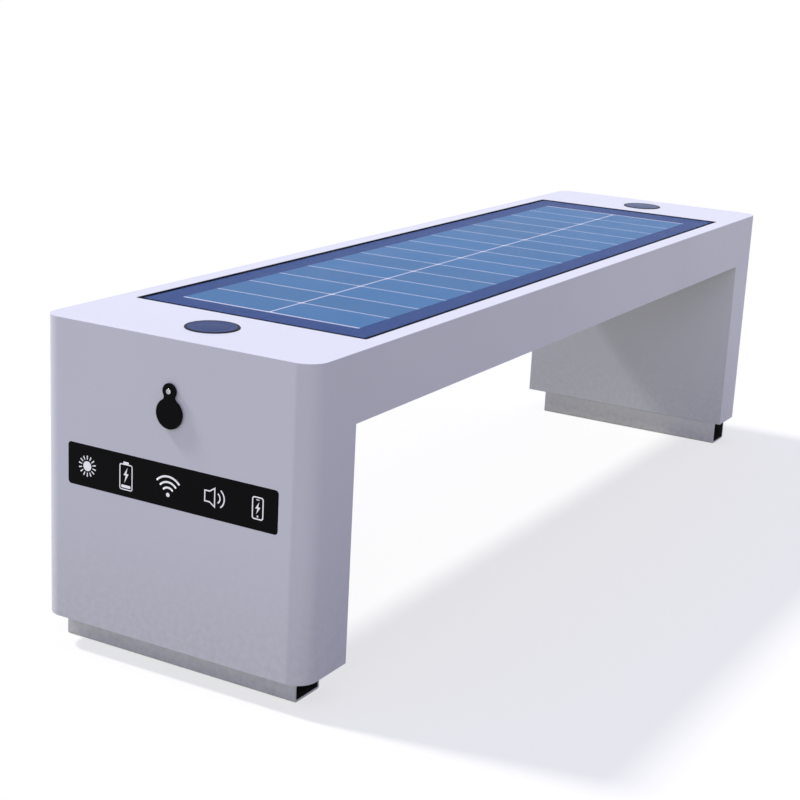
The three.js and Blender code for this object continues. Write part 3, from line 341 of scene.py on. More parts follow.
def make_materials():
    """Every finish by the name that its pieces ask for."""
    colours = bpy.context.scene.bench_colours
    paint, dust, plinth, cell, backing, ribbon, print_white, pad = [
        tuple(getattr(colours, name)) for name in
        ("paint", "dust", "plinth", "cell", "backing", "ribbon", "print_white", "pad")]
    return {
        "white_powder_coat": powder_coat("white_powder_coat", paint, dust, SPECKS_HEIGHT, SPECKS),
        # The plinths are coated lighter than the portal, which is painted bounce light
        "plinth_powder_coat": plinth_coat("plinth_powder_coat", plinth, dust),
        "galvanised_steel": galvanised("hot_dip_zinc"),
        # Turned and polished, with faint tool marks 0.8 mm wide
        "stainless_steel": surface("polished_stainless_steel", linear("B4B6BA"), (0.8, 2.0),
                                   (0.14, 0.3), (0.8, 0.05, 0.02), Metallic=1.0),
        # Low-iron glass: clear, so that it only adds a thin blue veil and a gloss to the cells. Rain
        # leaves a film on it that dries in patches, so the gloss is sharper in some places.
        "solar_glass": surface("toughened_solar_glass", linear("22406E"), (55, 4.0), (0.01, 0.06),
                               Alpha=0.06, IOR=1.45),
        "solar_cells": silicon("monocrystalline_silicon", cell, cell_numbers()),
        # Solder-coated copper, which looks pale and slightly uneven
        "cell_ribbon": surface("tinned_cell_ribbon", ribbon, (6, 4.0), (0.3, 0.5),
                               Specular_IOR_Level=0.1),
        # Laminated polymer sheet behind the cells, faintly mottled
        "panel_backing": surface("panel_backing_sheet", backing, (35, 4.0), (0.4, 0.5),
                                 patch_tone=shade(backing, 0.85), Specular_IOR_Level=BEHIND_GLASS),
        "black_rubber": moulded("black_sealing_rubber", "0B0C0E", (0.7, 0.85), 0.9, 0.2, 0.02),
        "black_gloss_plastic": moulded("black_moulded_plastic", "050506", (0.34, 0.46), 0.6, 0.05, 0.05),
        "black_matt_plastic": moulded("black_textured_plastic", "18191B", (0.5, 0.65), 0.5, 0.2, 0.25),
        # Blue-black behind glass, with smudges from the telephones laid on it
        "pad_glass": surface("back_painted_glass", pad, (12, 5.0), (0.12, 0.3),
                             patch_tone=shade(pad, 1.3), Specular_IOR_Level=0.015),
        # Copper wire under clear enamel, whose gloss varies from strand to strand, about 1 mm apart
        "copper_coil": surface("enamelled_copper", linear("B5703A"), (1.0, 2.0), (0.25, 0.4),
                               Metallic=1.0),
        "circuit_board": moulded("circuit_board_laminate", "2B5738", (0.4, 0.55), 0.7, 0.1),
        # Die-cast aluminium: an even, half-matt grey with the fine grit of the die's skin
        "aluminium_heatsink": surface("die_cast_aluminium", linear("A4A7AA"), (5, 3.0), (0.4, 0.52),
                                      (0.9, 0.1, 0.03), linear("B5B7B9"), Metallic=1.0),
        # Ink a little matt, which the light board behind the plate makes glow faintly
        "print_white": surface("white_screen_print", print_white, (3, 2.0), (0.45, 0.6),
                               Emission_Color=print_white, Emission_Strength=0.3),
    }


MATERIALS = {}


# Pieces

def new_object(name, data):
    """A new object in the scene."""
    made = bpy.data.objects.new(name, data)
    bpy.context.scene.collection.objects.link(made)
    return made


def finish_piece(name, mesh, body, slot, replaced=(), material=None):
    """A new object from a bmesh or mesh, riding on its body, in its slot's finish or another."""
    if isinstance(mesh, bmesh.types.BMesh):
        bmesh.ops.recalc_face_normals(mesh, faces=mesh.faces)
        data = bpy.data.meshes.new(name)
        mesh.to_mesh(data)
        mesh.free()
    else:
        data = mesh
        data.name = name
    piece = new_object(name, data)
    data.materials.clear()
    data.materials.append(MATERIALS[material or slot])
    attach(piece, body)
    if replaced:
        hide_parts(*replaced)
    return piece


def rounded(piece, width, limit, steps=2):
    """Rounds the edges of a piece that turn by more than the limit, in degrees."""
    bevel = piece.modifiers.new("rounded edges", "BEVEL")
    bevel.width = width
    bevel.segments = steps
    bevel.angle_limit = math.radians(limit)


def smooth(piece, limit=40):
    """Shades a piece smooth, but keeps the edges that turn by more than the limit, in degrees."""
    mesh = piece.data
    work = bmesh.new()
    work.from_mesh(mesh)
    for face in work.faces:
        face.smooth = True
    for edge in work.edges:
        edge.smooth = not (edge.is_manifold and edge.calc_face_angle(0) > math.radians(limit))
    work.to_mesh(mesh)
    work.free()
    weighted = piece.modifiers.new("flat faces", "WEIGHTED_NORMAL")
    weighted.keep_sharp = True


def loft(loops, close=False):
    """Skins a stack of loops with equal counts of points, and caps or joins the first and last."""
    work = bmesh.new()
    rings = [[work.verts.new(point) for point in loop] for loop in loops]
    pairs = list(zip(rings, rings[1:])) + ([(rings[-1], rings[0])] if close else [])
    for low, high in pairs:
        for i in range(len(low)):
            j = (i + 1) % len(low)
            work.faces.new((low[i], low[j], high[j], high[i]))
    if not close:
        work.faces.new(list(reversed(rings[0])))
        work.faces.new(rings[-1])
    return work


def circle(radius, count, height=0.0):
    turn = 2 * math.pi / count
    return [Vector((radius * math.cos(i * turn), radius * math.sin(i * turn), height))
            for i in range(count)]


def turned(profile, count, close=False):
    """A turned piece about Z from pairs of radius and height, capped, or closed into a ring."""
    return loft([circle(radius, count, height) for radius, height in profile], close)


def rounded_step(radius, height, edge, steps=4):
    """Profile points that round the outer corner at this radius and height."""
    turns = [i * math.pi / 2 / steps for i in range(steps + 1)]
    return [(radius - edge + edge * math.cos(t), height - edge + edge * math.sin(t)) for t in turns]


def moved(work, matrix):
    """The same mesh, moved and turned."""
    bmesh.ops.transform(work, matrix=matrix, verts=work.verts)
    return work


def combined(meshes, operation):
    """One mesh of the first solid, with the others joined to it or cut from it."""
    solids = [new_object("solid", mesh) for mesh in meshes]
    for other in solids[1:]:
        change = solids[0].modifiers.new("combined", "BOOLEAN")
        change.operation = operation
        change.solver = "EXACT"
        change.object = other
    bpy.context.view_layer.update()
    evaluated = solids[0].evaluated_get(bpy.context.evaluated_depsgraph_get())
    result = bpy.data.meshes.new_from_object(evaluated)
    for solid in solids:
        bpy.data.objects.remove(solid)
    return result


def bored(*works):
    """The mesh of the first solid less the others."""
    meshes = []
    for work in works:
        bmesh.ops.recalc_face_normals(work, faces=work.faces)
        meshes.append(bpy.data.meshes.new("solid"))
        work.to_mesh(meshes[-1])
        work.free()
    return combined(meshes, "DIFFERENCE")


# Turns a piece made upright so that its top faces out of the near end, towards -X
TO_NEAR_END = Matrix(((0, 0, -1, 0), (-1, 0, 0, 0), (0, 1, 0, 0), (0, 0, 0, 1)))


def plate_of(outline, low, high):
    """A flat plate between two heights."""
    return loft([[Vector((x, y, low)) for x, y in outline], [Vector((x, y, high)) for x, y in outline]])


def rectangle(x0, y0, x1, y1):
    return [(x0, y0), (x1, y0), (x1, y1), (x0, y1)]


def lay_tile(work, outline, low, high):
    """Adds one closed tile between two heights."""
    bottom = [work.verts.new((x, y, low)) for x, y in outline]
    top = [work.verts.new((x, y, high)) for x, y in outline]
    work.faces.new(bottom)
    work.faces.new(top)
    for i in range(len(outline)):
        j = (i + 1) % len(outline)
        work.faces.new((bottom[i], bottom[j], top[j], top[i]))


def rounded_rectangle(width, height, radius, steps=6):
    """Outline round the origin, with this many steps in each corner."""
    points = []
    for quarter, (sx, sy) in enumerate(((1, 1), (-1, 1), (-1, -1), (1, -1))):
        for i in range(steps + 1):
            turn = math.pi / 2 * (quarter + i / steps)
            points.append((sx * (width / 2 - radius) + radius * math.cos(turn),
                           sy * (height / 2 - radius) + radius * math.sin(turn)))
    return points


def keyhole(disc, ear, waist, pitch, inset, steps=16):
    """Outline of two discs a pitch apart, joined by hollow cheeks, the big disc at the origin.

    disc, ear and waist are the radii of the big disc, the small one and the cheeks."""
    disc, ear, waist = disc - inset, ear - inset, waist + inset
    rise = ((disc + waist) ** 2 - (ear + waist) ** 2 + pitch ** 2) / (2 * pitch)
    side = math.sqrt((disc + waist) ** 2 - rise ** 2)
    low, high = math.atan2(rise, side), math.atan2(pitch - rise, -side)

    def arc(x, y, radius, start, end, count):
        turns = [start + (end - start) * i / count for i in range(count)]
        return [(x + radius * math.cos(t), y + radius * math.sin(t)) for t in turns]

    return (arc(0, 0, disc, math.pi - low, 2 * math.pi + low, steps * 3)
            + arc(side, rise, waist, math.pi + low, high, steps)
            + arc(0, pitch, ear, high - math.pi, 2 * math.pi - high, steps * 2)
            + arc(-side, rise, waist, math.pi - high, -low, steps))


# Operators

class BENCH_OT_stage(bpy.types.Operator):
    """Sets the floor, the soft light and the camera"""

    bl_idname = "bench.stage"
    bl_label = "Stage"

    def execute(self, context):
        scene = context.scene
        scene.view_settings.view_transform = "Standard"
        self.place_camera(scene)
        self.lay_floor()
        self.light(scene)
        return {"FINISHED"}

    def place_camera(self, scene):
        data = bpy.data.cameras.new("camera")
        data.sensor_width = SENSOR
        data.lens = FOCAL_PIXELS * SENSOR / IMAGE_PIXELS
        data.clip_end = SIGHT
        camera = new_object("camera", data)
        ahead = (CAMERA_AIM - CAMERA_PLACE).normalized()
        turn = ahead.to_track_quat("-Z", "Y").to_matrix() @ Matrix.Rotation(CAMERA_ROLL, 3, "Z")
        camera.matrix_world = Matrix.Translation(CAMERA_PLACE) @ turn.to_4x4()
        scene.camera = camera

    def lay_floor(self):
        """A wide white floor that keeps a pale shadow, and lights the bench from below as a grey one."""
        work = bmesh.new()
        corners = rectangle(-FLOOR_REACH, -FLOOR_REACH, FLOOR_REACH, FLOOR_REACH)
        work.faces.new([work.verts.new((x, y, 0)) for x, y in corners])
        data = bpy.data.meshes.new("floor")
        work.to_mesh(data)
        work.free()
        floor = new_object("floor", data)
        material, tree, shader = principled(
            "pale_floor", Base_Color=FLOOR_BOUNCE, Roughness=0.9, Specular_IOR_Level=0.0,
            Emission_Color=WHITE)
        seen = self.seen_rays(tree)
        lay_over(tree, seen, FLOOR_SEEN)
        glow = add(tree, "ShaderNodeMath", {1: FLOOR_GLOW}, {0: seen}, operation="MULTIPLY")
        tree.links.new(glow.outputs["Value"], shader.inputs["Emission Strength"])
        data.materials.append(material)

    def seen_rays(self, tree):
        """One for the rays that show a thing: camera, glossy and transmission."""
        path = add(tree, "ShaderNodeLightPath")
        total = add(tree, "ShaderNodeMath", operation="ADD",
                    links={0: path.outputs["Is Camera Ray"], 1: path.outputs["Is Glossy Ray"]})
        return add(tree, "ShaderNodeMath", operation="ADD", use_clamp=True,
                   links={0: total.outputs["Value"], 1: path.outputs["Is Transmission Ray"]}
                   ).outputs["Value"]

    def light(self, scene):
        """A bluish sky that shows as white, and the lamps."""
        world = bpy.data.worlds.new("studio")
        world.use_nodes = True
        tree = world.node_tree
        back = tree.nodes["Background"]
        tone = add(tree, "ShaderNodeMixRGB", {"Color1": SKY, "Color2": WHITE},
                   {"Fac": self.seen_rays(tree)})
        tree.links.new(tone.outputs["Color"], back.inputs["Color"])
        scene.world = world
        for name, towards, strength, width in LIGHTS:
            data = bpy.data.lights.new(name, "SUN")
            data.energy = strength
            data.angle = math.radians(width)
            lamp = new_object(name, data)
            lamp.rotation_euler = (-towards).to_track_quat("-Z", "Y").to_euler()


class BENCH_OT_finishes(bpy.types.Operator):
    """Makes every material of the bench"""

    bl_idname = "bench.finishes"
    bl_label = "Finishes"

    def execute(self, context):
        MATERIALS.update(make_materials())
        return {"FINISHED"}


class BENCH_OT_portal_skin(bpy.types.Operator):
    """Welds the portal's sheets into one skin and rounds its folds"""

    bl_idname = "bench.portal_skin"
    bl_label = "Portal skin"

    # Corners closer than the first are one corner, and heights closer than the second are one height
    WELD_REACH, LEVEL = 0.02 * MM, 0.1 * MM
    # Turns in degrees: below the first two faces are one, above the second an edge is a fold, and
    # below the third it is shaded smooth
    FLAT_BELOW, FOLD_ABOVE, SMOOTH_BELOW = 0.5, 30, 25
    # A face whose normal rises less than this is upright
    UPRIGHT_BELOW = 0.5
    FOLD_STEPS = 3

    def execute(self, context):
        sizes = context.scene.bench_sizes
        mesh = self.welded()
        work = bmesh.new()
        work.from_mesh(mesh)
        bmesh.ops.remove_doubles(work, verts=work.verts, dist=self.WELD_REACH)
        bmesh.ops.dissolve_limit(work, angle_limit=math.radians(self.FLAT_BELOW), verts=work.verts,
                                 edges=work.edges)
        weight = work.edges.layers.float.new("bevel_weight_edge")
        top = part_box("deck_sheet")[1].z
        centre = sum(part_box("deck_sheet"), Vector()) / 2
        share = sizes.edge_radius / sizes.fold_radius
        for edge in work.edges:
            if not edge.is_manifold or edge.calc_face_angle(0) < math.radians(self.FOLD_ABOVE):
                continue
            edge[weight] = 1.0 if self.is_outer_fold(edge, top, centre) else share
        work.to_mesh(mesh)
        work.free()
        skin = finish_piece("portal_skin", mesh, "bench", "white_powder_coat", SKIN_NODES)
        bevel = skin.modifiers.new("folds", "BEVEL")
        bevel.limit_method = "WEIGHT"
        bevel.width = sizes.fold_radius
        bevel.segments = self.FOLD_STEPS
        smooth(skin, self.SMOOTH_BELOW)
        return {"FINISHED"}

    def welded(self):
        """One mesh of all the sheets, which lie face to face."""
        meshes = [NODES[node].data.copy() for node in SKIN_NODES]
        for mesh in meshes:
            # Rounded to 0.01 mm, so that faces which touch lie exactly in one plane
            for vertex in mesh.vertices:
                vertex.co = Vector([round(c, 5) for c in vertex.co])
        return combined(meshes, "UNION")

    def is_outer_fold(self, edge, top, centre):
        """Whether an edge is where the deck folds down into a side or an end."""
        start, end = edge.verts[0].co, edge.verts[1].co
        middle = (start + end) / 2
        if abs(middle.z - top) > self.LEVEL or abs(start.z - end.z) > self.LEVEL:
            return False
        outward = Vector((middle.x - centre.x, middle.y - centre.y, 0))
        sides = [face.normal for face in edge.link_faces if abs(face.normal.z) < self.UPRIGHT_BELOW]
        return any(normal.dot(outward) > 0 for normal in sides)


class BENCH_OT_solar_panel(bpy.types.Operator):
    """Lays the cells and their ribbons on the backing sheet under the glass"""

    bl_idname = "bench.solar_panel"
    bl_label = "Solar panel"

    # The glass bends the light, so that from a low view its cells seem to lie about 1 mm down
    FACE_DEPTH = 1.2 * MM
    PANE_THICKNESS, PANE_EDGE, PANE_EDGE_ANGLE = 0.8 * MM, 0.2 * MM, 30
    CORNER_RADIUS = 2 * MM
    CELL_THICKNESS = 0.2 * MM
    # A ribbon's lower and upper face over the backing. The one along the middle reaches a step higher
    # than those across it, and the diamonds where they meet reach higher still.
    RIBBON_LOW, RIBBON_HIGH = 0.02 * MM, 0.15 * MM
    MIDDLE_STEP, DIAMOND_STEP = 0.02 * MM, 0.04 * MM
    # Widths as shares of the gap between cells, and how far a diamond reaches past the cropped corners
    THIN_SHARE, BOLD_SHARE, DIAMOND_REACH = 1.2, 2.1, 0.9 * MM

    def execute(self, context):
        sizes = context.scene.bench_sizes
        low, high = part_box("cell_laminate")
        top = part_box("solar_glass")[1].z
        face = top - self.FACE_DEPTH
        centre = (low + high) / 2
        place = Matrix.Translation((centre.x, centre.y, 0))
        outline = rounded_rectangle(high.x - low.x, high.y - low.y, self.CORNER_RADIUS)
        finish_piece("backing_sheet", moved(plate_of(outline, low.z, face), place), "bench",
                     "solar_cells", ("cell_laminate",), "panel_backing")
        glass = moved(plate_of(outline, top - self.PANE_THICKNESS, top), place)
        pane = finish_piece("glass_pane", glass, "bench", "solar_glass", ("solar_glass",))
        rounded(pane, self.PANE_EDGE, self.PANE_EDGE_ANGLE)
        smooth(pane, self.PANE_EDGE_ANGLE)
        self.lay_cells(sizes, centre.y, face)
        self.lay_ribbons(sizes, centre.y, face)
        return {"FINISHED"}

    def lay_cells(self, sizes, middle, face):
        """Half-cut cells in two rows, with the cropped corners of the round ingot at the middle."""
        first, pitch, reach = cell_grid()
        crop, gap = sizes.cell_crop, sizes.ribbon_gap / 2
        work = bmesh.new()
        for column in range(sizes.cell_columns):
            x0, x1 = first + column * pitch + gap, first + (column + 1) * pitch - gap
            outline = [(x0 + crop, gap), (x1 - crop, gap), (x1, gap + crop), (x1, reach), (x0, reach),
                       (x0, gap + crop)]
            for side in (-1, 1):
                lay_tile(work, [(x, middle + side * y) for x, y in outline], face,
                         face + self.CELL_THICKNESS)
        finish_piece("solar_cells", work, "bench", "solar_cells")

    def lay_ribbons(self, sizes, middle, face):
        """Ribbons between the cells, a wider bus bar at each end, and one along the middle."""
        first, pitch, reach = cell_grid()
        last = first + pitch * sizes.cell_columns
        low, high = face + self.RIBBON_LOW, face + self.RIBBON_HIGH
        thin, bold = sizes.ribbon_gap * self.THIN_SHARE, sizes.ribbon_gap * self.BOLD_SHARE
        spread = sizes.cell_crop + self.DIAMOND_REACH
        work = bmesh.new()
        for column in range(sizes.cell_columns + 1):
            x = first + column * pitch
            half = (bold if column in (0, sizes.cell_columns) else thin) / 2
            lay_tile(work, rectangle(x - half, middle - reach, x + half, middle + reach), low, high)
            if 0 < column < sizes.cell_columns:
                lay_tile(work, [(x - spread, middle), (x, middle - spread), (x + spread, middle),
                                (x, middle + spread)], low, high + self.DIAMOND_STEP)
        lay_tile(work, rectangle(first, middle - thin / 2, last, middle + thin / 2), low,
                 high + self.MIDDLE_STEP)
        finish_piece("cell_ribbons", work, "bench", "solar_cells", material="cell_ribbon")


class BENCH_OT_charging_pads(bpy.types.Operator):
    """Turns the two charging pads: a rounded rim and a blue-black disc"""

    bl_idname = "bench.charging_pads"
    bl_label = "Charging pads"

    # The housing: how far its rim overlaps the deck, its wall, the gap round the disc and its edges
    OVERLAP, WALL, GAP = 1.5 * MM, 2 * MM, 0.3 * MM
    RIM_EDGE, MOUTH_EDGE = 0.9 * MM, 0.4 * MM
    # The disc's rounded edge, and a groove as a share of its radius, with its half width and depth
    DISC_EDGE = 0.6 * MM
    GROOVE_SHARE, GROOVE_HALF, GROOVE_DEPTH = 0.72, 0.5 * MM, 0.25 * MM
    # Where the two profiles end next to the axis
    HOUSING_CORE, DISC_CORE = 0.5 * MM, 1 * MM

    def execute(self, context):
        for end in ("near", "far"):
            self.turn_rim(end)
            self.turn_disc(end)
        return {"FINISHED"}

    def turn_rim(self, end):
        node = "pad_housing_" + end
        low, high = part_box(node)
        centre = (low + high) / 2
        disc_low, disc_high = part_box("pad_disc_" + end)
        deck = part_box("deck_sheet")[1].z
        rim = (high.x - low.x) / 2
        body = rim - self.OVERLAP
        mouth = (disc_high.x - disc_low.x) / 2 + self.GAP
        bore = body - 2 * self.WALL
        core = self.HOUSING_CORE
        profile = [(core, low.z), (body, low.z), (body, deck), (rim, deck)]
        profile += rounded_step(rim, high.z, self.RIM_EDGE)
        profile += [(mouth + self.MOUTH_EDGE, high.z), (mouth, high.z - self.MOUTH_EDGE),
                    (mouth, disc_low.z), (bore, disc_low.z), (bore, low.z + self.WALL),
                    (core, low.z + self.WALL)]
        work = moved(turned(profile, ROUND, close=True), Matrix.Translation((centre.x, centre.y, 0)))
        piece = finish_piece("pad_rim_" + end, work, "bench", "black_gloss_plastic", (node,))
        smooth(piece)

    def turn_disc(self, end):
        node = "pad_disc_" + end
        low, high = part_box(node)
        centre = (low + high) / 2
        radius = (high.x - low.x) / 2
        groove = radius * self.GROOVE_SHARE
        profile = [(radius, low.z)] + rounded_step(radius, high.z, self.DISC_EDGE)
        profile += [(groove + self.GROOVE_HALF, high.z), (groove, high.z - self.GROOVE_DEPTH),
                    (groove - self.GROOVE_HALF, high.z), (self.DISC_CORE, high.z)]
        work = moved(turned(profile, ROUND), Matrix.Translation((centre.x, centre.y, 0)))
        piece = finish_piece("pad_glass_" + end, work, "bench", "pad_glass", (node,))
        smooth(piece)


class BENCH_OT_charging_socket(bpy.types.Operator):
    """Models the flat swivel cover, the domed screw it turns on and the socket under it"""

    bl_idname = "bench.charging_socket"
    bl_label = "Charging socket"

    # Radii of the keyhole's small disc and of its cheeks, and of the screw's shank
    EAR, WAIST, SHANK = 10.9 * MM, 5 * MM, 2 * MM
    # The flange: its thickness, how far it lies inside the cover's outline and its chamfer
    FLANGE_THICKNESS, FLANGE_INSET, FLANGE_EDGE = 1.2 * MM, 1.5 * MM, 0.3 * MM
    BARREL_RADIUS, MOUTH_RADIUS, MOUTH_DEPTH = 14 * MM, 11 * MM, 1.5 * MM
    HALF_PORT, PORT_DEPTH = Vector((6.6, 3.6)) * MM, 14 * MM
    COVER_BACK_EDGE, COVER_FRONT_EDGE, COVER_STEPS = 0.3 * MM, 0.9 * MM, 5
    # The screw's dome: its rise, and its rings as shares of the head's radius and of the rise
    DOME_RISE = 1.6 * MM
    DOME = ((1.0, 0.25), (0.93, 0.6), (0.78, 0.85), (0.55, 1.0))
    # The hexagon recess, from its middle to a flat side
    RECESS_RADIUS, RECESS_DEPTH = 1.25 * MM, 1.0 * MM

    def execute(self, context):
        low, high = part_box("socket_cover")
        disc = (high.y - low.y) / 2
        pitch = high.z - low.z - disc - self.EAR
        middle = Vector((0, (low.y + high.y) / 2, low.z + disc))
        shape = (disc, self.EAR, self.WAIST, pitch)
        hole_place = Matrix.Translation((0, pitch, 0))
        self.mould_cover(low, high, shape, hole_place)
        self.turn_screw(low.z + disc + pitch)
        self.mould_socket(middle, shape, hole_place)
        return {"FINISHED"}

    def mould_cover(self, low, high, shape, hole_place):
        """Keyhole outline with a rounded front edge, bored for its screw."""
        thick, edge = high.x - low.x, self.COVER_FRONT_EDGE
        levels = [(self.COVER_BACK_EDGE, 0.0), (0.0, self.COVER_BACK_EDGE)]
        for i in range(self.COVER_STEPS + 1):
            turn = math.pi / 2 * i / self.COVER_STEPS
            levels.append((edge * (1 - math.cos(turn)), thick - edge + edge * math.sin(turn)))
        loops = [[Vector((x, y, height)) for x, y in keyhole(*shape, inset)] for inset, height in levels]
        bore = self.SHANK + CLEARANCE
        hole = turned([(bore, -thick), (bore, thick * 2)], SMALL_ROUND)
        solid = bored(loft(loops), moved(hole, hole_place))
        place = Matrix.Translation((high.x, (low.y + high.y) / 2, low.z + shape[0]))
        solid.transform(place @ TO_NEAR_END)
        piece = finish_piece("swivel_cover", solid, "cover", "black_gloss_plastic", ("socket_cover",))
        smooth(piece)

    def turn_screw(self, height):
        """A domed head with a hexagon recess, on its shank."""
        low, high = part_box("cover_screw")
        head, reach = (high.y - low.y) / 2, high.x - low.x
        count, neck = SMALL_ROUND, reach - self.DOME_RISE

        def hexagon(level):
            points = []
            for i in range(count):
                turn = 2 * math.pi * i / count
                radius = self.RECESS_RADIUS / math.cos((turn % (math.pi / 3)) - math.pi / 6)
                points.append(Vector((radius * math.cos(turn), radius * math.sin(turn), level)))
            return points

        loops = [circle(self.SHANK, count, 0.0), circle(self.SHANK, count, neck), circle(head, count, neck)]
        for share, level in self.DOME:
            loops.append(circle(head * share, count, reach - self.DOME_RISE * (1 - level)))
        loops += [hexagon(reach), hexagon(reach - self.RECESS_DEPTH)]
        work = moved(loft(loops), TO_NEAR_END)
        place = Matrix.Translation((high.x, (low.y + high.y) / 2, height))
        piece = finish_piece("domed_screw", moved(work, place), "bench", "stainless_steel",
                             ("cover_screw",))
        smooth(piece)

    def mould_socket(self, middle, shape, hole_place):
        """Keyhole flange on a round barrel, with its mouth, its port and the screw's hole."""
        low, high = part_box("socket_body")
        thick, inset, edge = self.FLANGE_THICKNESS, self.FLANGE_INSET, self.FLANGE_EDGE
        rim = [Vector(point) for point in keyhole(*shape, inset)]
        front = [Vector(point) for point in keyhole(*shape, inset + edge)]
        shaft = [point.normalized() * self.BARREL_RADIUS for point in rim]
        levels = ((shaft, low.x - high.x), (shaft, -thick), (rim, -thick), (rim, -edge), (front, 0))
        body = loft([[point.to_3d() + UP * height for point in loop] for loop, height in levels])
        rays = circle(1, ROUND)
        port, tiny = self.HALF_PORT, 1e-6
        # Each ray from the middle ends on the port's sides, and tiny keeps it from dividing by zero
        slot = [ray * min(port.x / max(abs(ray.x), tiny), port.y / max(abs(ray.y), tiny)) for ray in rays]
        opening = loft([[point - UP * self.PORT_DEPTH for point in slot],
                        [point - UP * self.MOUTH_DEPTH for point in slot],
                        [ray * self.MOUTH_RADIUS - UP * self.MOUTH_DEPTH for ray in rays],
                        [ray * self.MOUTH_RADIUS + UP * thick for ray in rays]])
        bore = self.SHANK + CLEARANCE
        hole = turned([(bore, -3 * thick), (bore, thick)], SMALL_ROUND)
        solid = bored(body, opening, moved(hole, hole_place))
        solid.transform(Matrix.Translation(middle + Vector((low.x, 0, 0))) @ TO_NEAR_END)
        piece = finish_piece("socket_flange", solid, "bench", "black_gloss_plastic", ("socket_body",))
        smooth(piece)


class BENCH_OT_pictograms(bpy.types.Operator):
    """Prints the five pictograms on their plate"""

    bl_idname = "bench.pictograms"
    bl_label = "Pictograms"

    # Each pictogram's place from the middle of the plate, in millimetres towards +Y. The function
    # that has its name draws it, in millimetres from its own middle.
    PLACES = {"sun": 140.7, "battery": 73.5, "signal": 2.5, "loudspeaker": -73.6, "telephone": -142.4}
    # How far the ink's back lies in the plate, and in millimetres how thick the ink is
    SUNK = 0.02 * MM
    INK = 0.14
    # The mitre of a very sharp corner is cut short at this cosine
    SHARPEST = 0.3

    def execute(self, context):
        low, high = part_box("icon_plate")
        middle = (low + high) / 2
        for name, across in self.PLACES.items():
            work = bmesh.new()
            getattr(self, name)(work)
            moved(work, Matrix.Scale(MM, 4))
            moved(work, TO_NEAR_END)
            moved(work, Matrix.Translation((low.x + self.SUNK, middle.y + across * MM, middle.z)))
            finish_piece("pictogram_" + name, work, "bench", "black_gloss_plastic",
                         material="print_white")
        return {"FINISHED"}

    def ink(self, work, outline):
        """One closed patch of ink, in millimetres, standing just proud of the plate."""
        lay_tile(work, outline, 0.0, self.INK)

    def disc(self, work, x, y, radius, count=32):
        self.ink(work, [(x + radius * math.cos(2 * math.pi * i / count),
                         y + radius * math.sin(2 * math.pi * i / count)) for i in range(count)])

    def arc(self, work, x, y, radius, width, start, end, count=24):
        turns = [math.radians(start + (end - start) * i / count) for i in range(count + 1)]
        outer = [(x + (radius + width / 2) * math.cos(t), y + (radius + width / 2) * math.sin(t))
                 for t in turns]
        inner = [(x + (radius - width / 2) * math.cos(t), y + (radius - width / 2) * math.sin(t))
                 for t in reversed(turns)]
        self.ink(work, outer + inner)

    def stroke(self, work, points, width):
        """An even line round a closed outline, mitred at its corners."""
        count = len(points)
        corners = [Vector(point) for point in points]
        sides = []
        for i in range(count):
            ahead = (corners[(i + 1) % count] - corners[i]).normalized()
            behind = (corners[i] - corners[i - 1]).normalized()
            across = Vector((-ahead.y - behind.y, ahead.x + behind.x)).normalized()
            reach = width / 2 / max(self.SHARPEST, across.dot(Vector((-ahead.y, ahead.x))))
            sides.append((corners[i] - across * reach, corners[i] + across * reach))
        rings = [[work.verts.new((*pair[k], level)) for pair in sides]
                 for k, level in ((0, 0.0), (1, 0.0), (1, self.INK), (0, self.INK))]
        for near, far in zip(rings, rings[1:] + rings[:1]):
            for i in range(count):
                j = (i + 1) % count
                work.faces.new((near[i], near[j], far[j], far[i]))

    def sun(self, work):
        """A disc with rays that widen outwards."""
        rays = 14
        self.disc(work, 0, 0, 7.0)
        for i in range(rays):
            turn = 2 * math.pi * (i + 0.5) / rays
            along = Vector((math.cos(turn), math.sin(turn)))
            side = Vector((-along.y, along.x))
            outline = [along * 9.3 - side * 0.6, along * 15.0 - side * 1.0, along * 15.0 + side * 1.0,
                       along * 9.3 + side * 0.6]
            self.ink(work, [tuple(point) for point in outline])

    def battery(self, work):
        """A battery with a bolt and a low charge."""
        case = [(x, y - 2.2) for x, y in rounded_rectangle(20.8, 35.6, 2.6, 4)]
        self.stroke(work, case, 1.5)
        self.ink(work, [(x, y + 17.9) for x, y in rounded_rectangle(9.5, 3.0, 1.0, 3)])
        self.ink(work, [(2.6, 11.6), (-4.2, 0.2), (-0.4, 0.2), (-2.8, -10.6), (4.4, 2.6), (0.6, 2.6)])
        self.ink(work, [(x, y - 15.6) for x, y in rounded_rectangle(15.6, 3.9, 0.8, 3)])

    def signal(self, work):
        """A wireless signal: a dot under three arcs."""
        foot, width, ends = -12.3, 2.7, (45, 135)
        self.disc(work, 0, foot, 2.9)
        for radius in (10.2, 17.8, 25.6):
            self.arc(work, 0, foot, radius, width, *ends)
            for turn in ends:
                self.disc(work, radius * math.cos(math.radians(turn)),
                          radius * math.sin(math.radians(turn)) + foot, width / 2, 16)

    def loudspeaker(self, work):
        """A loudspeaker's outline with two waves."""
        horn = [(-15.6, -7.4), (-7.8, -7.4), (0.4, -12.8), (0.4, 12.8), (-7.8, 7.4), (-15.6, 7.4)]
        self.stroke(work, horn, 1.7)
        self.arc(work, 1.4, 0, 7.6, 1.9, -58, 58)
        self.arc(work, 1.4, 0, 14.4, 1.9, -54, 54)

    def telephone(self, work):
        """A telephone with its charging bolt."""
        self.stroke(work, rounded_rectangle(16.4, 29.6, 3.0, 5), 1.7)
        self.ink(work, [(x, y + 11.4) for x, y in rounded_rectangle(5.0, 1.2, 0.5, 3)])
        self.disc(work, 0, -11.2, 1.3, 20)
        self.ink(work, [(2.2, 8.6), (-4.0, -0.6), (-0.4, -0.6), (-2.2, -8.2), (4.0, 1.4), (0.6, 1.4)])


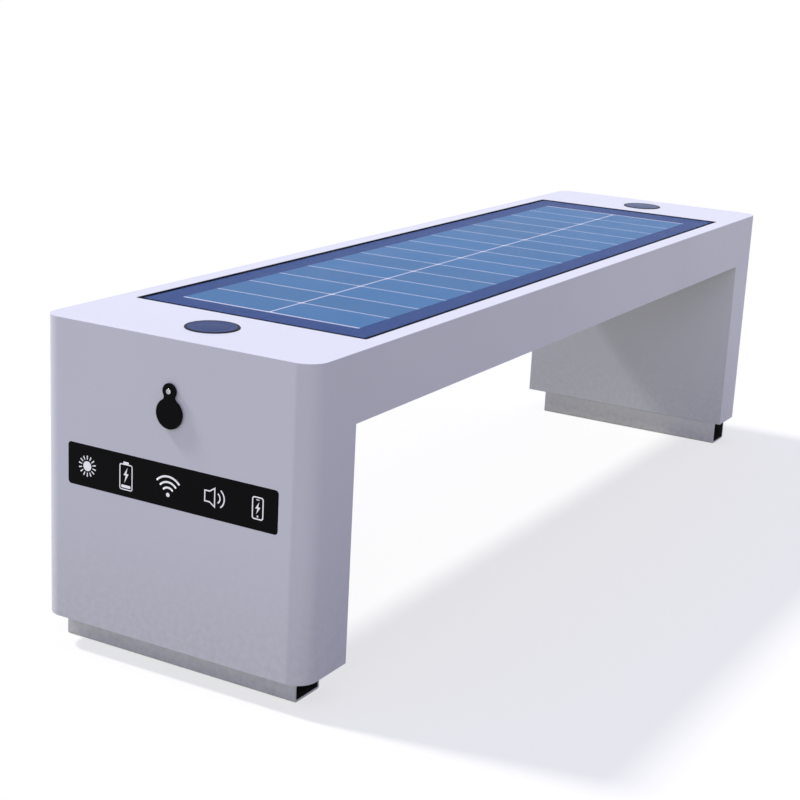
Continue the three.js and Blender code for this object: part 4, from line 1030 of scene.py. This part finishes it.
class BENCH_OT_fittings(bpy.types.Operator):
    """Gives every other node its finish and rounds its edges"""

    bl_idname = "bench.fittings"
    bl_label = "Fittings"

    # Edge rounding of each node in millimetres, where an edge turns by more than ROUND_ABOVE degrees
    EDGES = {
        "plinth_near": 0.8, "plinth_far": 0.8, "service_door": 0.8, "underside_panel": 0.8,
        "icon_plate": 0.3, "battery_pack": 1.2, "charge_controller": 0.6,
        "router_module": 1.5, "junction_box": 1.0, "hinge_seat_1": 0.4, "hinge_seat_2": 0.4,
        "lock_body": 0.4, "lock_cam": 0.3, "lock_nut": 0.4, "socket_nut": 0.5,
        "leg_base_plate_near": 0.5, "leg_base_plate_far": 0.5, "speaker_driver": 0.6,
    }
    ROUND_ABOVE = 35
    # A seat screw's head from its foot to its crown, pairs of radius and height
    SEAT_SCREW = ((3.2 * MM, 0), (3.2 * MM, 0.8 * MM), (2.6 * MM, 1.6 * MM), (1.2 * MM, 1.9 * MM))
    # Where the two screws sit: shares of the seat's width, height over its lower edge, and its plate
    SCREW_SHARES = (0.22, 0.6)
    SCREW_HEIGHT, SEAT_PLATE = 7 * MM, 3 * MM

    def execute(self, context):
        slots = {part["node"]: part["material_slot"] for part in frame["record"]["subparts"]}
        for name, node in NODES.items():
            material = MATERIALS[slots[name]]
            if node.material_slots:
                for material_slot in node.material_slots:
                    material_slot.material = material
            else:
                node.data.materials.append(material)
            if name in self.EDGES:
                rounded(node, self.EDGES[name] * MM, self.ROUND_ABOVE)
        self.drive_seat_screws()
        return {"FINISHED"}

    def drive_seat_screws(self):
        """Two pan-head screws hold each hinge seat to the leg."""
        for i in (1, 2):
            low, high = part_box(f"hinge_seat_{i}")
            for j, share in enumerate(self.SCREW_SHARES):
                place = Vector((low.x + self.SEAT_PLATE, low.y + share * (high.y - low.y),
                                low.z + self.SCREW_HEIGHT))
                work = moved(turned(self.SEAT_SCREW, SCREW_ROUND), Matrix.Rotation(math.pi / 2, 4, "Y"))
                piece = finish_piece(f"seat_screw_{i}_{j + 1}", moved(work, Matrix.Translation(place)),
                                     "bench", "stainless_steel")
                smooth(piece)


class BENCH_PT_panel(bpy.types.Panel):
    """Lists the bench's operators and settings in the sidebar"""

    bl_label = "Solar charging bench"
    bl_idname = "BENCH_PT_panel"
    bl_space_type = "VIEW_3D"
    bl_region_type = "UI"
    bl_category = "Bench"

    def draw(self, context):
        for operator in OPERATORS:
            self.layout.operator(operator.bl_idname)
        for settings in (context.scene.bench_sizes, context.scene.bench_colours):
            column = self.layout.column()
            for name in settings.__annotations__:
                column.prop(settings, name)


OPERATORS = (
    BENCH_OT_stage, BENCH_OT_finishes, BENCH_OT_portal_skin, BENCH_OT_solar_panel,
    BENCH_OT_charging_pads, BENCH_OT_charging_socket, BENCH_OT_pictograms, BENCH_OT_fittings,
)
CLASSES = (BenchColours, BenchSizes) + OPERATORS + (BENCH_PT_panel,)


def register():
    for cls in CLASSES:
        bpy.utils.register_class(cls)
    bpy.types.Scene.bench_colours = PointerProperty(type=BenchColours)
    bpy.types.Scene.bench_sizes = PointerProperty(type=BenchSizes)


def unregister():
    del bpy.types.Scene.bench_sizes
    del bpy.types.Scene.bench_colours
    for cls in reversed(CLASSES):
        bpy.utils.unregister_class(cls)


def main():
    register()
    for operator in OPERATORS:
        getattr(bpy.ops.bench, operator.bl_idname.split(".")[1])()


if __name__ == "__main__":
    main()
